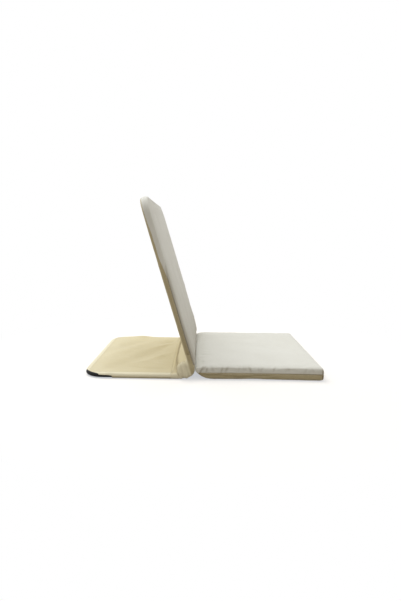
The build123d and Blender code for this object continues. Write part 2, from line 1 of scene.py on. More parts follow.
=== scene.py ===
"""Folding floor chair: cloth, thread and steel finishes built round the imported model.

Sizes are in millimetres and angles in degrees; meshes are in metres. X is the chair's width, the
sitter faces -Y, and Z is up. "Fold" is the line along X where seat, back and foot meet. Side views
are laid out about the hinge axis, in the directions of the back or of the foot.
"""

import json
import logging
import math
from collections.abc import Callable
from dataclasses import dataclass, field
from enum import Enum

import bmesh
import bpy
import numpy as np
from mathutils import Matrix, Vector, noise
from mathutils.bvhtree import BVHTree

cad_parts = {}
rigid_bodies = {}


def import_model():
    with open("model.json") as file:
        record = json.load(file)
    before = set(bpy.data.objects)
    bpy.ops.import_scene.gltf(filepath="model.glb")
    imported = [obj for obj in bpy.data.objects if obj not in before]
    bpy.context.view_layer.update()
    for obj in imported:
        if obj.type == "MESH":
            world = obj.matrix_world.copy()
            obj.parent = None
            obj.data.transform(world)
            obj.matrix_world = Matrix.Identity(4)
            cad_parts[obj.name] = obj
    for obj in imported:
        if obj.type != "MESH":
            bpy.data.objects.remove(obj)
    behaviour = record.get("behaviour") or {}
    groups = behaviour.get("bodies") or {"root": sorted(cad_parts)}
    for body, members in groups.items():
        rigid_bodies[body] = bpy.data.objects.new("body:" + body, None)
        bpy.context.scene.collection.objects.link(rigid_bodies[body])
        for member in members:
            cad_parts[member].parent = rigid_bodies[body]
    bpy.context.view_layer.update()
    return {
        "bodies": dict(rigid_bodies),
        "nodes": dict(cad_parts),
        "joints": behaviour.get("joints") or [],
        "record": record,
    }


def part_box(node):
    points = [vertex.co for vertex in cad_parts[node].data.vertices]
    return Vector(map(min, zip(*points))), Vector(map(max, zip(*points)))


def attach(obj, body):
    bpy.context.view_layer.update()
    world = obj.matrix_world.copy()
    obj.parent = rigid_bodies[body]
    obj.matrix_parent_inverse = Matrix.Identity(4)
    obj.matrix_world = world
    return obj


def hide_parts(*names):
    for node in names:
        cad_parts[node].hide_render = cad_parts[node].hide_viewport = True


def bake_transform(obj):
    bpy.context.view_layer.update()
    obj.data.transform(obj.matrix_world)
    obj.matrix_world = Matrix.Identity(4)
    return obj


LOG = logging.getLogger("floor_chair")
MM = 0.001
WELD = 1e-5
Array = np.ndarray
Object = bpy.types.Object
Socket = bpy.types.NodeSocket
Pair = tuple[float, float]
Colour = tuple[float, float, float, float]


class Body(str, Enum):
    """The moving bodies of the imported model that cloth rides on."""

    BACK = "back"
    FOOT = "foot"
    SEAT = "seat"


class Hold(str, Enum):
    """How a sheet of cloth is held."""

    STRETCHED = "stretched"
    FOLDED = "folded"


# Frames and outlines ---------------------------------------------------------------------------


@dataclass(frozen=True)
class SideFrame:
    """Directions in the side view: along a panel, and square to it.

    Attributes:
        origin: The point (y, z) that distances start from: a panel's hinge axis or fold line.
        along: Unit direction (y, z) from there along the panel.
        ahead: Unit direction (y, z) square to it.
    """

    origin: Pair
    along: Pair
    ahead: Pair

    def place(self, x: Array | float, along: Array | float, ahead: Array | float) -> Array:
        """Points of the row frame.

        Args:
            x: Places across the width.
            along: Distances from the origin along the panel.
            ahead: Distances from the origin square to it.

        Returns:
            The points in metres, with a last axis of 3.
        """
        x, along, ahead = np.broadcast_arrays(x, along, ahead)
        y = self.origin[0] + along * self.along[0] + ahead * self.ahead[0]
        z = self.origin[1] + along * self.along[1] + ahead * self.ahead[1]
        return np.stack([x, y, z], axis=-1) * MM

    def lay(self, plan: Array, ahead: Array | float) -> Array:
        """Points of the row frame for places that are (across, along) in plan's last axis."""
        return self.place(plan[..., 0], plan[..., 1], ahead)

    def local(self, points: Array) -> tuple[Array, Array, Array]:
        """Places across, along and ahead, in millimetres, of points of the row frame."""
        y, z = points[:, 1] / MM - self.origin[0], points[:, 2] / MM - self.origin[1]
        along = y * self.along[0] + z * self.along[1]
        return points[:, 0] / MM, along, y * self.ahead[0] + z * self.ahead[1]


# Directions of a panel that still lies flat, before it is stood up
FLAT = SideFrame((0.0, 0.0), (1.0, 0.0), (0.0, 1.0))


@dataclass(frozen=True)
class Chair:
    """Sizes that the pieces share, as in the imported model."""

    half_width: float = 260.0
    fold_y: float = 25.9
    hinge_y: float = 54.25
    hinge_z: float = 27.85
    lean: float = 17.0
    tube_x: float = 252.15
    tube_offset: float = 20.0
    sleeve_r: float = 7.85
    elbow_r: float = 27.85
    gusset_reach: float = 41.3

    @property
    def back(self) -> SideFrame:
        """The back's directions: up along it, and towards the sitter."""
        lean = math.radians(self.lean)
        up, front = (math.sin(lean), math.cos(lean)), (-math.cos(lean), math.sin(lean))
        return SideFrame((self.hinge_y, self.hinge_z), up, front)

    @property
    def foot(self) -> SideFrame:
        """The foot's directions: rearwards, and up."""
        return SideFrame((self.hinge_y, self.hinge_z), (1.0, 0.0), (0.0, 1.0))

    @property
    def seat(self) -> SideFrame:
        """The seat's directions from the fold line on the floor: forwards, and up."""
        return SideFrame((self.fold_y, 0.0), (-1.0, 0.0), (0.0, 1.0))

    @property
    def fold_turn(self) -> float:
        """Degrees that cloth turns round the outside of the fold, from the foot to the back."""
        return 90 + self.lean


@dataclass(frozen=True)
class Outline:
    """Flat outline of a panel, in places across and along it.

    Attributes:
        half_width: Half its width.
        near: Its end at the fold.
        far: Its other end.
        far_radius: Corner radius at the far end.
        near_radius: Corner radius at the near end; 0 leaves that end open.
        far_least: Least corner radius of an inner grid at the far end.
        near_least: The same at the near end.
    """

    half_width: float
    near: float
    far: float
    far_radius: float
    near_radius: float = 0.0
    far_least: float = 3.0
    near_least: float = 2.0

    def grid(self, inset: float, rows: int, columns: int, arc: int = 10) -> Array:
        """Points over the outline, drawn in by inset.

        Args:
            inset: Distance in from the outline.
            rows: Steps along each straight side.
            columns: Points across.
            arc: Steps round each corner.

        Returns:
            An array of rows by columns by (across, along).
        """
        half, far = self.half_width - inset, self.far - inset
        far_r = max(self.far_radius - inset, self.far_least)
        edge_x, edge_y = [], []
        near, near_r = self.near, 0.0
        if self.near_radius > 0:
            near, near_r = self.near + inset, max(self.near_radius - inset, self.near_least)
            turn = np.radians(np.linspace(-90, 0, arc, endpoint=False))
            edge_x += list(half - near_r + near_r * np.cos(turn))
            edge_y += list(near + near_r + near_r * np.sin(turn))
        side = np.linspace(near + near_r, far - far_r, rows)
        edge_x += [half] * rows
        edge_y += list(side)
        turn = np.radians(np.linspace(0, 90, arc + 1)[1:])
        edge_x += list(half - far_r + far_r * np.cos(turn))
        edge_y += list(far - far_r + far_r * np.sin(turn))
        x = np.outer(edge_x, np.linspace(-1, 1, columns))
        return np.stack([x, np.broadcast_to(np.array(edge_y)[:, None], x.shape)], axis=-1)

    def rim(self, grid: Array) -> Array:
        """The edge of such a grid, from the near end on the right side round the far end.

        Args:
            grid: Points from grid().

        Returns:
            Points along the rim; all the way round if the near end is closed.
        """
        parts = [grid[:, -1], grid[-1, -2:0:-1], grid[::-1, 0]]
        if self.near_radius > 0:
            parts.append(grid[0, 1:-1])
        return np.concatenate(parts)


# Meshes ----------------------------------------------------------------------------------------


def add_object(name: str, data: bpy.types.ID) -> Object:
    """Add an object with this mesh, lamp or camera to the scene."""
    made = bpy.data.objects.new(name, data)
    bpy.context.collection.objects.link(made)
    return made


class MeshWriter:
    """Collects grids of points and makes one mesh of them."""

    def __init__(self) -> None:
        """Start empty."""
        self.points: list[Array] = []
        self.faces: list[tuple[int, ...]] = []
        self.slots: list[int] = []
        self.count = 0

    def grid(self, points: Array, wrap: bool = False, lining: int = 0) -> None:
        """Add a grid of quads.

        Args:
            points: Rows by columns by 3.
            wrap: Whether the last column joins the first.
            lining: Number of rows at the start that take the second material.
        """
        rows, columns = points.shape[:2]
        for i in range(rows - 1):
            for j in range(columns if wrap else columns - 1):
                k = (j + 1) % columns
                a, b = self.count + i * columns, self.count + (i + 1) * columns
                self.faces.append((a + j, a + k, b + k, b + j))
                self.slots.append(int(i < lining))
        self.points.append(points.reshape(-1, 3))
        self.count += rows * columns

    def build(self, name: str, facing: Vector | None = None) -> Object:
        """Make the object.

        Args:
            name: Name of the piece.
            facing: A direction that an open sheet's face looks to; None for a closed form.

        Returns:
            The new object, at the origin.
        """
        mesh = bpy.data.meshes.new(name)
        mesh.from_pydata(np.concatenate(self.points).tolist(), [], self.faces)
        mesh.polygons.foreach_set("material_index", self.slots)
        work = bmesh.new()
        work.from_mesh(mesh)
        bmesh.ops.remove_doubles(work, verts=work.verts, dist=WELD)
        bmesh.ops.recalc_face_normals(work, faces=work.faces)
        if facing is not None:
            total = sum((f.normal * f.calc_area() for f in work.faces), Vector())
            if total.dot(facing) < 0:
                bmesh.ops.reverse_faces(work, faces=work.faces)
        work.to_mesh(mesh)
        work.free()
        mesh.shade_smooth()
        return add_object(name, mesh)


def points_of(piece: Object) -> Array:
    """The piece's points, in metres."""
    co = np.zeros(len(piece.data.vertices) * 3)
    piece.data.vertices.foreach_get("co", co)
    return co.reshape(-1, 3)


def normals_of(piece: Object) -> Array:
    """The piece's point normals."""
    directions = np.zeros(len(piece.data.vertices) * 3)
    piece.data.vertices.foreach_get("normal", directions)
    return directions.reshape(-1, 3)


def set_points(piece: Object, points: Array) -> None:
    """Give the piece's points new places."""
    piece.data.vertices.foreach_set("co", points.reshape(-1))
    piece.data.update()


def raise_along_normals(piece: Object, lift: Array) -> None:
    """Move each point along its normal by lift, in millimetres."""
    set_points(piece, points_of(piece) + normals_of(piece) * (lift * MM)[:, None])


def mark(piece: Object, name: str, amount: Array) -> None:
    """Keep one value from 0 to 1 for each point, which the finishes read by name."""
    layer = piece.data.attributes.new(name, "FLOAT", "POINT")
    layer.data.foreach_set("value", np.clip(amount, 0, 1).astype(np.float32))


def ramp(value: Array | float, zero: float, one: float) -> Array:
    """A straight step over value: 0 as far as the place zero, 1 from the place one."""
    return np.clip((value - zero) / (one - zero), 0, 1)


def soft(value: Array | float, zero: float, one: float) -> Array:
    """The same step, rounded at both ends."""
    t = ramp(value, zero, one)
    return t * t * (3 - 2 * t)


def ridge(value: Array, middle: float, half: float) -> Array:
    """A soft ridge of 1 where value is middle, gone at about twice half to either side."""
    return np.exp(-(((value - middle) / half) ** 2))


def apply_modifiers(piece: Object) -> None:
    """Turn the piece's modifiers into its mesh."""
    shown = piece.evaluated_get(bpy.context.evaluated_depsgraph_get())
    mesh = bpy.data.meshes.new_from_object(shown)
    piece.modifiers.clear()
    old, piece.data = piece.data, mesh
    mesh.name = old.name
    bpy.data.meshes.remove(old)


def modify(piece: Object, kind: str, **settings: object) -> None:
    """Run one modifier on the piece, with these settings, and keep the result."""
    step = piece.modifiers.new(kind.title(), kind)
    for name, value in settings.items():
        setattr(step, name, value)
    apply_modifiers(piece)


def subdivide(piece: Object) -> None:
    """Smooth the piece by one subdivision."""
    modify(piece, "SUBSURF", levels=1, render_levels=1)


def thicken(piece: Object, thickness: float, offset: float = -1.0) -> None:
    """Give a sheet its thickness.

    Args:
        piece: The sheet, its face outwards.
        thickness: In millimetres.
        offset: -1 grows inwards, 1 outwards.
    """
    modify(piece, "SOLIDIFY", thickness=thickness * MM, offset=offset, use_even_offset=False)
    piece.data.shade_smooth()


def wander(points: Array, size: float, seed: float) -> Array:
    """Smooth noise at points, from about -1 to 1.

    Args:
        points: Places in metres.
        size: Size of a swell, in millimetres.
        seed: Shifts the pattern.

    Returns:
        One value for each point.
    """
    shifted = points / (size * MM) + np.array([seed * 7.31, seed * 3.17, seed * 5.93])
    return np.array([noise.noise(Vector(p)) for p in shifted])


@dataclass(frozen=True)
class Pucker:
    """A straight, soft ridge or fold in cloth.

    Attributes:
        middle: Its middle, in millimetres, in the two directions of a panel.
        angle: Its direction, from the first of them.
        length: Length over which it fades.
        width: Half its width.
        height: Its height; below 0 for a fold inwards.
    """

    middle: Pair
    angle: float
    length: float
    width: float
    height: float

    def lift(self, first: Array, second: Array) -> Array:
        """Its height at places given in the panel's two directions."""
        du, dv = first - self.middle[0], second - self.middle[1]
        c, s = math.cos(math.radians(self.angle)), math.sin(math.radians(self.angle))
        run, off = du * c + dv * s, dv * c - du * s
        return self.height * np.exp(-((run / self.length) ** 2) - (off / self.width) ** 2)


@dataclass(frozen=True)
class Inflation:
    """Cloth simulation that swells a closed cushion form.

    Attributes:
        voxel: Size of the remeshed quads.
        pressure: Air pressure inside.
        spare: Share of spare cloth, which makes soft wrinkles.
        reach: Largest movement of a point.
        frames: Steps of the simulation.
    """

    voxel: float
    pressure: float = 4.0
    spare: float = 0.01
    reach: float = 5.0
    frames: int = 20

    def run(self, piece: Object, held: Callable[[Array], Array]) -> None:
        """Swell the piece.

        Args:
            piece: A closed form.
            held: Gives from 0, free, to 1, held, for each point.
        """
        modify(piece, "REMESH", mode="VOXEL", voxel_size=self.voxel * MM)
        modify(piece, "SMOOTH", factor=0.5, iterations=2)
        before = points_of(piece)
        moved = self.swollen(piece, held(before)) - before
        length = np.linalg.norm(moved, axis=1, keepdims=True) + 1e-9
        limit = self.reach * MM
        set_points(piece, before + moved * (limit * np.tanh(length / limit) / length))
        subdivide(piece)

    def swollen(self, piece: Object, weights: Array) -> Array:
        """Where the simulation takes the piece's points.

        Args:
            piece: The piece, left as it is.
            weights: How firmly each point is held.

        Returns:
            Their new places, in metres.
        """
        group = piece.vertex_groups.new(name="held")
        for i, weight in enumerate(weights):
            group.add([i], float(weight), "REPLACE")
        cloth = piece.modifiers.new("Cloth", "CLOTH")
        settings = cloth.settings
        settings.quality = 6
        settings.mass = 0.3
        settings.use_pressure = True
        settings.uniform_pressure_force = self.pressure
        settings.effector_weights.gravity = 0.0
        settings.vertex_group_mass = group.name
        settings.shrink_min = -self.spare
        cloth.point_cache.frame_start, cloth.point_cache.frame_end = 1, self.frames
        scene = bpy.context.scene
        for frame in range(1, self.frames + 1):
            scene.frame_set(frame)
        places = points_of(piece.evaluated_get(bpy.context.evaluated_depsgraph_get()))
        piece.modifiers.clear()
        piece.vertex_groups.clear()
        scene.frame_set(1)
        return places


# Finishes --------------------------------------------------------------------------------------


class Nodes:
    """Adds nodes to one tree."""

    def __init__(self, tree: bpy.types.NodeTree, prefix: str = "") -> None:
        """Start on a tree.

        Args:
            tree: The tree.
            prefix: What the names of its nodes' types start with.
        """
        self.tree, self.prefix = tree, prefix

    def put(self, socket: Socket, value: object) -> None:
        """Link an output to a socket, or set the socket's value."""
        if isinstance(value, Socket):
            self.tree.links.new(value, socket)
        else:
            socket.default_value = value

    def add(self, kind: str, values: dict | None = None, **settings: object) -> bpy.types.Node:
        """Add a node.

        Args:
            kind: Its type, without the prefix.
            values: Numbers, colours or output sockets for its inputs, by name or index.
            settings: Its other settings.

        Returns:
            The node.
        """
        node = self.tree.nodes.new(self.prefix + kind)
        for name, value in settings.items():
            setattr(node, name, value)
        for key, value in (values or {}).items():
            self.put(node.inputs[key], value)
        return node

    def math(self, operation: str, first: object, second: object = 0.0) -> Socket:
        """The result of a Math node on two values."""
        return self.add("Math", {0: first, 1: second}, operation=operation).outputs[0]

    def direct_ray(self) -> Socket:
        """1 for a ray from the camera, off a glossy face or through glass, and else 0."""
        rays = self.add("LightPath").outputs
        seen = self.math("MAXIMUM", rays["Is Camera Ray"], rays["Is Glossy Ray"])
        return self.math("MAXIMUM", seen, rays["Is Transmission Ray"])


class NodeWriter(Nodes):
    """Writes the shader nodes of one material."""

    def __init__(self, name: str) -> None:
        """Start a material with a Principled shader.

        Args:
            name: Name of the material.
        """
        self.material = bpy.data.materials.new(name)
        self.material.use_nodes = True
        super().__init__(self.material.node_tree, "ShaderNode")
        self.shader = self.tree.nodes["Principled BSDF"]

    def shade(self, values: dict) -> None:
        """Set or link the shader's own sockets, by name."""
        for name, value in values.items():
            self.put(self.shader.inputs[name], value)

    def mix(self, amount: object, first: object, second: object) -> Socket:
        """A colour between two others."""
        node = self.add("Mix", data_type="RGBA")
        self.put(node.inputs["Factor"], amount)
        colours = [s for s in node.inputs if s.type == "RGBA"]
        self.put(colours[0], first)
        self.put(colours[1], second)
        return next(s for s in node.outputs if s.type == "RGBA")

    def noise(self, place: Socket, scale: float, detail: float, roughness: float = 0.5) -> Socket:
        """The value of a Noise node."""
        values = {"Vector": place, "Scale": scale, "Detail": detail, "Roughness": roughness}
        return self.add("TexNoise", values).outputs[0]

    def remap(self, value: object, source: Pair, target: Pair) -> Socket:
        """A value carried from one range over to another, and kept in it."""
        return self.add("MapRange", dict(enumerate((value, *source, *target)))).outputs[0]

    def attribute(self, name: str) -> Socket:
        """The value that mark() kept under a name."""
        return self.add("Attribute", attribute_name=name).outputs["Fac"]

    def bump(self, height: Socket, strength: float, distance: float, under: Socket | None = None) -> Socket:
        """The normal over a relief, which may lie on the normal of another.

        Args:
            height: The relief.
            strength: How much of it shows.
            distance: Its depth, in metres.
            under: The other normal, or None.

        Returns:
            The normal.
        """
        made = self.add("Bump", {"Height": height, "Strength": strength, "Distance": distance})
        if under is not None:
            self.put(made.inputs["Normal"], under)
        return made.outputs[0]


def colour(red: int, green: int, blue: int) -> Colour:
    """A display colour, 0 to 255, as the shader's linear one."""
    parts = [c / 255 for c in (red, green, blue)]
    linear = [c / 12.92 if c <= 0.04045 else ((c + 0.055) / 1.055) ** 2.4 for c in parts]
    return (*linear, 1.0)


def dimmed(tint: Colour, *shares: float) -> Colour:
    """A colour times one share, or times a share for each of red, green and blue."""
    shares = shares if len(shares) == 3 else shares * 3
    return (*(c * k for c, k in zip(tint, shares)), 1.0)


@dataclass(frozen=True)
class ClothFinish:
    """Plain-woven cotton canvas, paler by the attribute "wear", which carries mostly painted highlights and
    painted light, and darker by "soil", which carries painted shade and some uneven tone.

    Attributes:
        name: Name of the material.
        warp: Colour of the cloth.
        worn: Colour of its darker patches.
        thread: Distance between threads.
        lean: Angle that the weave is turned by, about X.
        sheen: Strength of the soft fibre sheen.
        gap: Share of the colour that is left between threads.
        light_and_bleach: How far the painted light and wear take red, green and blue to white.
        shade_and_dirt: Shares of red, green and blue that the painted shade and soil leave.
    """

    name: str
    warp: Colour
    worn: Colour
    thread: float = 0.8
    lean: float = 0.0
    sheen: float = 0.2
    gap: float = 0.82
    light_and_bleach: tuple[float, float, float] = (0.5, 0.45, 0.32)
    shade_and_dirt: tuple[float, float, float] = (0.48, 0.44, 0.37)

    def weave(self, w: NodeWriter, spot: Socket, facing: Socket) -> Socket:
        """The relief of crossing threads, in the plane that the cloth faces.

        Args:
            w: Writes the nodes.
            spot: Place on the cloth.
            facing: The cloth's normal.

        Returns:
            From -1 to 1.
        """
        split, face = w.add("SeparateXYZ", {0: spot}), w.add("SeparateXYZ", {0: facing})
        waves, weights = [], []
        for axis in range(3):
            phase = w.math("MULTIPLY", split.outputs[axis], math.pi / (self.thread * MM))
            waves.append(w.math("SINE", phase))
            square = w.math("MULTIPLY", face.outputs[axis], face.outputs[axis])
            weights.append(w.math("MULTIPLY", square, square))
        weave: object = 0.0
        for axis in range(3):
            cross = w.math("MULTIPLY", waves[(axis + 1) % 3], waves[(axis + 2) % 3])
            weave = w.math("ADD", weave, w.math("MULTIPLY", cross, weights[axis]))
        return weave

    def build(self) -> bpy.types.Material:
        """The material."""
        w = NodeWriter(self.name)
        place = w.add("TexCoord").outputs
        turn = (math.radians(self.lean), 0.0, 0.0)
        spot = w.add("Mapping", {"Vector": place["Object"], "Rotation": turn}).outputs[0]
        normal = {"Vector": place["Normal"], "Rotation": turn}
        weave = self.weave(w, spot, w.add("Mapping", normal, vector_type="VECTOR").outputs[0])
        fibre, slub = w.noise(spot, scale=900.0, detail=3.0), w.noise(spot, scale=140.0, detail=2.0)
        cloud = w.noise(spot, scale=9.0, detail=4.0, roughness=0.6)
        patchy = w.mix(w.remap(cloud, (0.38, 0.7), (0.0, 0.55)), self.warp, self.worn)
        grain = w.remap(w.math("ADD", weave, fibre), (1.4, -0.4), (0.0, 0.3))
        tone = w.mix(grain, patchy, dimmed(self.warp, self.gap))
        # Painted highlights and painted light pale the cloth; painted shade darkens it.
        pale = (*(c + (1 - c) * k for c, k in zip(self.warp, self.light_and_bleach)), 1.0)
        tone = w.mix(w.attribute("wear"), tone, pale)
        tone = w.mix(w.attribute("soil"), tone, dimmed(self.warp, *self.shade_and_dirt))
        rough = w.remap(slub, (0.3, 0.7), (0.82, 0.95))
        creases = w.noise(spot, scale=32.0, detail=3.0, roughness=0.55)
        crumple = w.bump(creases, strength=0.22, distance=0.004)
        fine = w.math("ADD", weave, w.math("MULTIPLY", slub, 1.2))
        w.shade(
            {
                "Base Color": tone,
                "Roughness": rough,
                "Normal": w.bump(fine, strength=0.35, distance=0.00025, under=crumple),
                "Sheen Weight": self.sheen,
                "Sheen Roughness": 0.5,
                "Specular IOR Level": 0.25,
            }
        )
        return w.material


@dataclass(frozen=True)
class ThreadFinish:
    """Twisted sewing thread."""

    name: str
    dye: Colour

    def build(self) -> bpy.types.Material:
        """The material."""
        w = NodeWriter(self.name)
        place = w.add("TexCoord").outputs["Object"]
        twist = w.add("TexWave", {"Vector": place, "Scale": 700.0, "Distortion": 1.0}).outputs["Fac"]
        w.shade(
            {
                "Base Color": w.mix(twist, dimmed(self.dye, 0.7), self.dye),
                "Normal": w.bump(twist, strength=0.4, distance=0.0001),
                "Roughness": 0.6,
                "Sheen Weight": 0.3,
            }
        )
        return w.material


@dataclass(frozen=True)
class PaintFinish:
    """Powder-coated steel tube, with a little dust."""

    name: str
    coat: Colour
    dust: float = 0.008

    def build(self) -> bpy.types.Material:
        """The material."""
        w = NodeWriter(self.name)
        place = w.add("TexCoord").outputs["Object"]
        peel = w.noise(place, scale=900.0, detail=2.0)
        scuff = w.noise(place, scale=60.0, detail=6.0)
        dusty = (*(c + self.dust for c in self.coat[:3]), 1.0)
        w.shade(
            {
                "Base Color": w.mix(w.remap(scuff, (0.55, 0.75), (0.0, 0.35)), self.coat, dusty),
                "Specular IOR Level": 0.2,
                "Roughness": w.remap(scuff, (0.3, 0.7), (0.5, 0.66)),
                "Normal": w.bump(peel, strength=0.15, distance=0.0001),
            }
        )
        return w.material


@dataclass(frozen=True)
class MetalFinish:
    """Bare or plated metal, with fine scratches along X.

    Attributes:
        name: Name of the material.
        tint: Colour of the metal.
        polish: Roughness, from 0 for a mirror.
    """

    name: str
    tint: Colour
    polish: float = 0.35

    def build(self) -> bpy.types.Material:
        """The material."""
        w = NodeWriter(self.name)
        place = w.add("TexCoord").outputs["Object"]
        along = w.add("Mapping", {"Vector": place, "Scale": (90.0, 1400.0, 1400.0)}).outputs[0]
        brush = w.noise(along, scale=1.0, detail=3.0)
        stain = w.remap(w.noise(place, scale=120.0, detail=4.0), (0.4, 0.75), (0.0, 0.5))
        w.shade(
            {
                "Base Color": w.mix(stain, self.tint, dimmed(self.tint, 0.6)),
                "Metallic": 1.0,
                "Roughness": w.remap(brush, (0.3, 0.7), (self.polish - 0.1, self.polish + 0.15)),
                "Normal": w.bump(brush, strength=0.12, distance=0.0001),
            }
        )
        return w.material


class Palette:
    """The chair's finishes, each made once."""

    def __init__(self, chair: Chair) -> None:
        """Make every material.

        Args:
            chair: For the lean of the back's weave.
        """
        white, shade = colour(230, 230, 223), colour(220, 219, 210)
        cream, tan = colour(222, 212, 178), colour(212, 200, 160)
        # Painted shade: the shaded cream is the foot's cream cloth made darker for the seat's lower boxing
        # and the back's sleeve, which face away from the light.
        shaded_cream, shaded_tan = colour(196, 184, 150), colour(182, 168, 132)
        self.seat_white = ClothFinish("canvas_white_seat", white, shade).build()
        self.back_white = ClothFinish("canvas_white_back", white, shade, lean=chair.lean).build()
        self.seat_cream_shaded = ClothFinish("canvas_cream_seat", shaded_cream, shaded_tan).build()
        self.back_cream_shaded = ClothFinish("canvas_cream_back", shaded_cream, shaded_tan, lean=chair.lean).build()
        self.foot_cream = ClothFinish("canvas_cream_foot", cream, tan).build()
        self.thread = ThreadFinish("thread_cream", colour(238, 231, 208)).build()
        self.tape = ThreadFinish("zip_tape_cream", colour(205, 196, 166)).build()
        self.tube = PaintFinish("tube_black_coat", colour(9, 9, 10)).build()
        self.steel = MetalFinish("hinge_steel_plate", colour(176, 178, 182)).build()
        self.pin = MetalFinish("pin_steel_zinc", colour(198, 198, 194), 0.25).build()
        self.spring = MetalFinish("spring_steel_blue", colour(120, 126, 138), 0.3).build()
        self.zip = MetalFinish("zip_metal_nickel", colour(190, 184, 170), 0.28).build()


# Cloth -----------------------------------------------------------------------------------------


@dataclass
class SeatCushion:
    """Box cushion in front of the fold: white above the boxing's seam, cream below it."""

    chair: Chair
    palette: Palette
    length: float = 376.0
    thickness: float = 40.0
    crown: float = 2.4
    corner: float = 4.5
    draw_in: float = 4.0
    toe_low: float = 23.6
    toe_high: float = 33.0
    toe_rise: float = 50.0
    shoulder: float = 25.0
    start_smaller: float = 0.6
    seam_depth: float = 1.1
    seam_half: float = 1.2
    front_seam: float = 9.5
    corner_seam: float = 0.8
    zip_room: float = 0.1
    zip_band: float = 5.0
    zip_bulge: float = 3.0
    spare: float = 0.5
    steps: tuple[int, int] = (40, 54)
    seed: int = 11
    inflation: Inflation = field(default_factory=lambda: Inflation(5.0, spare=0.012, reach=2.2))

    def low(self, s: Array) -> Array:
        """Height of the underside at distances ahead of the fold."""
        t = np.clip(1 - s / self.toe_rise, 0, 1)
        return self.toe_low * (0.55 * t**1.4 + 0.45 * t**3.0)

    def high(self, s: Array) -> Array:
        """Height of the top at distances ahead of the fold, without its crown."""
        t = np.clip(1 - s / self.shoulder, 0, 1)
        return self.thickness - (self.thickness - self.toe_high) * (0.85 * t**1.5 + 0.15 * t**4)

    def block(self) -> Object:
        """The cushion's form before it is swollen."""
        near, far = -self.spare, self.length + self.spare
        outline = Outline(self.chair.half_width - self.start_smaller, near, far, self.corner, self.corner)
        top = self.thickness - self.start_smaller
        walls = [(3.0, 0.2), (0.9, 1.0), (0.3, 4.0), (0.1, 12.0), (0.0, 20.0)]
        walls += [(0.3, 28.0), (0.7, top - 5.0), (1.7, top - 1.5), (4.6, top - 0.2)]
        layers = [(outline.grid(inset, *self.steps), level) for inset, level in walls]
        writer = MeshWriter()
        writer.grid(np.array([self.shaped(outline.rim(grid), level) for grid, level in layers]), wrap=True)
        for grid, level in (layers[0], layers[-1]):
            writer.grid(self.shaped(grid, level))
        return writer.build("seat_cushion")

    def shaped(self, plan: Array, level: Array | float) -> Array:
        """Points of the cushion for places in plan and levels of a plain box of its thickness.

        Args:
            plan: Places as (across, ahead of the fold).
            level: Heights from 0 to the thickness.

        Returns:
            Points of the row frame.
        """
        x, s = plan[..., 0], plan[..., 1]
        share = np.asarray(level) / self.thickness
        waist = 1 - (2 * s / self.length - 1) ** 2
        x = x * (1 - self.draw_in * np.clip(waist, 0, 1) / self.chair.half_width)
        crown = self.crown * (1 - (x / self.chair.half_width) ** 2) * np.clip(waist, 0, 1)
        z = self.low(s) + share * (self.high(s) - self.low(s)) + crown * (share > 0.9)
        return self.chair.seat.place(x, s, z)

    def held(self, points: Array) -> Array:
        """How firmly each point is held: at the boxing's seam and on the floor."""
        x, s, z = self.chair.seat.local(points)
        edge = (np.abs(x) > self.chair.half_width - 12) | (s > self.length - 9)
        seam = edge & (np.abs(z - self.thickness / 2) < 3.0)
        rim = edge & (z > self.thickness - 5.0)
        floor = (z < 2.4) & (s > 44)
        tip = s < 6
        return np.where(floor | tip, 1.0, np.where(seam, 0.96, np.where(rim, 0.93, 0.0)))

    def puckers(self, side: int) -> list[Pucker]:
        """Pull marks of the boxing on one side, in the directions (ahead of the fold, height)."""
        rng = np.random.default_rng(self.seed + side)
        found = [Pucker((19.0, 29.5), 62.0, 13.0, 2.0, -2.4), Pucker((27.0, 34.0), 48.0, 9.0, 2.2, -1.3)]
        s = 34.0
        while s < self.length - 14:
            tall = rng.uniform(0.25, 1.5) * (1.0 if s < 270 else 0.5)
            angle = rng.uniform(44, 84) if rng.random() < 0.75 else rng.uniform(95, 122)
            middle, length = (s, rng.uniform(28, 36)), rng.uniform(4, 10)
            found.append(Pucker(middle, angle, length, rng.uniform(2.2, 4.6), -tall))
            s += rng.choice([5.0, 9.0, 14.0, 24.0, 34.0]) + rng.uniform(-2, 4)
        s = 36.0
        while s < 255.0:
            middle, angle = (s, rng.uniform(7, 16)), rng.uniform(-8, 9)
            length, width = rng.uniform(14, 30), rng.uniform(1.7, 2.4)
            found.append(Pucker(middle, angle, length, width, -rng.uniform(0.6, 1.3)))
            s += rng.uniform(16, 30)
        return found

    def cut_seam(self, piece: Object) -> None:
        """Cut edge loops for the seam round the boxing, and give the lower half its own cloth."""
        middle, reach, outer = self.thickness / 2, 9.0, 2.4
        work = bmesh.new()
        work.from_mesh(piece.data)
        for step in (-outer, -self.seam_half, -0.5, 0.0, 0.5, self.seam_half, outer):
            around = [f for f in work.faces if abs(f.calc_center_median().z - middle * MM) < reach * MM]
            bounds = {e for f in around for e in f.edges} | {v for f in around for v in f.verts}
            spot = Vector((0, 0, (middle + step) * MM))
            bmesh.ops.bisect_plane(
                work, geom=list(set(around) | bounds), dist=1e-7, plane_co=spot, plane_no=Vector((0, 0, 1))
            )
        for face in work.faces:
            face.material_index = int(face.calc_center_median().z < middle * MM)
            face.smooth = True
        work.to_mesh(piece.data)
        work.free()

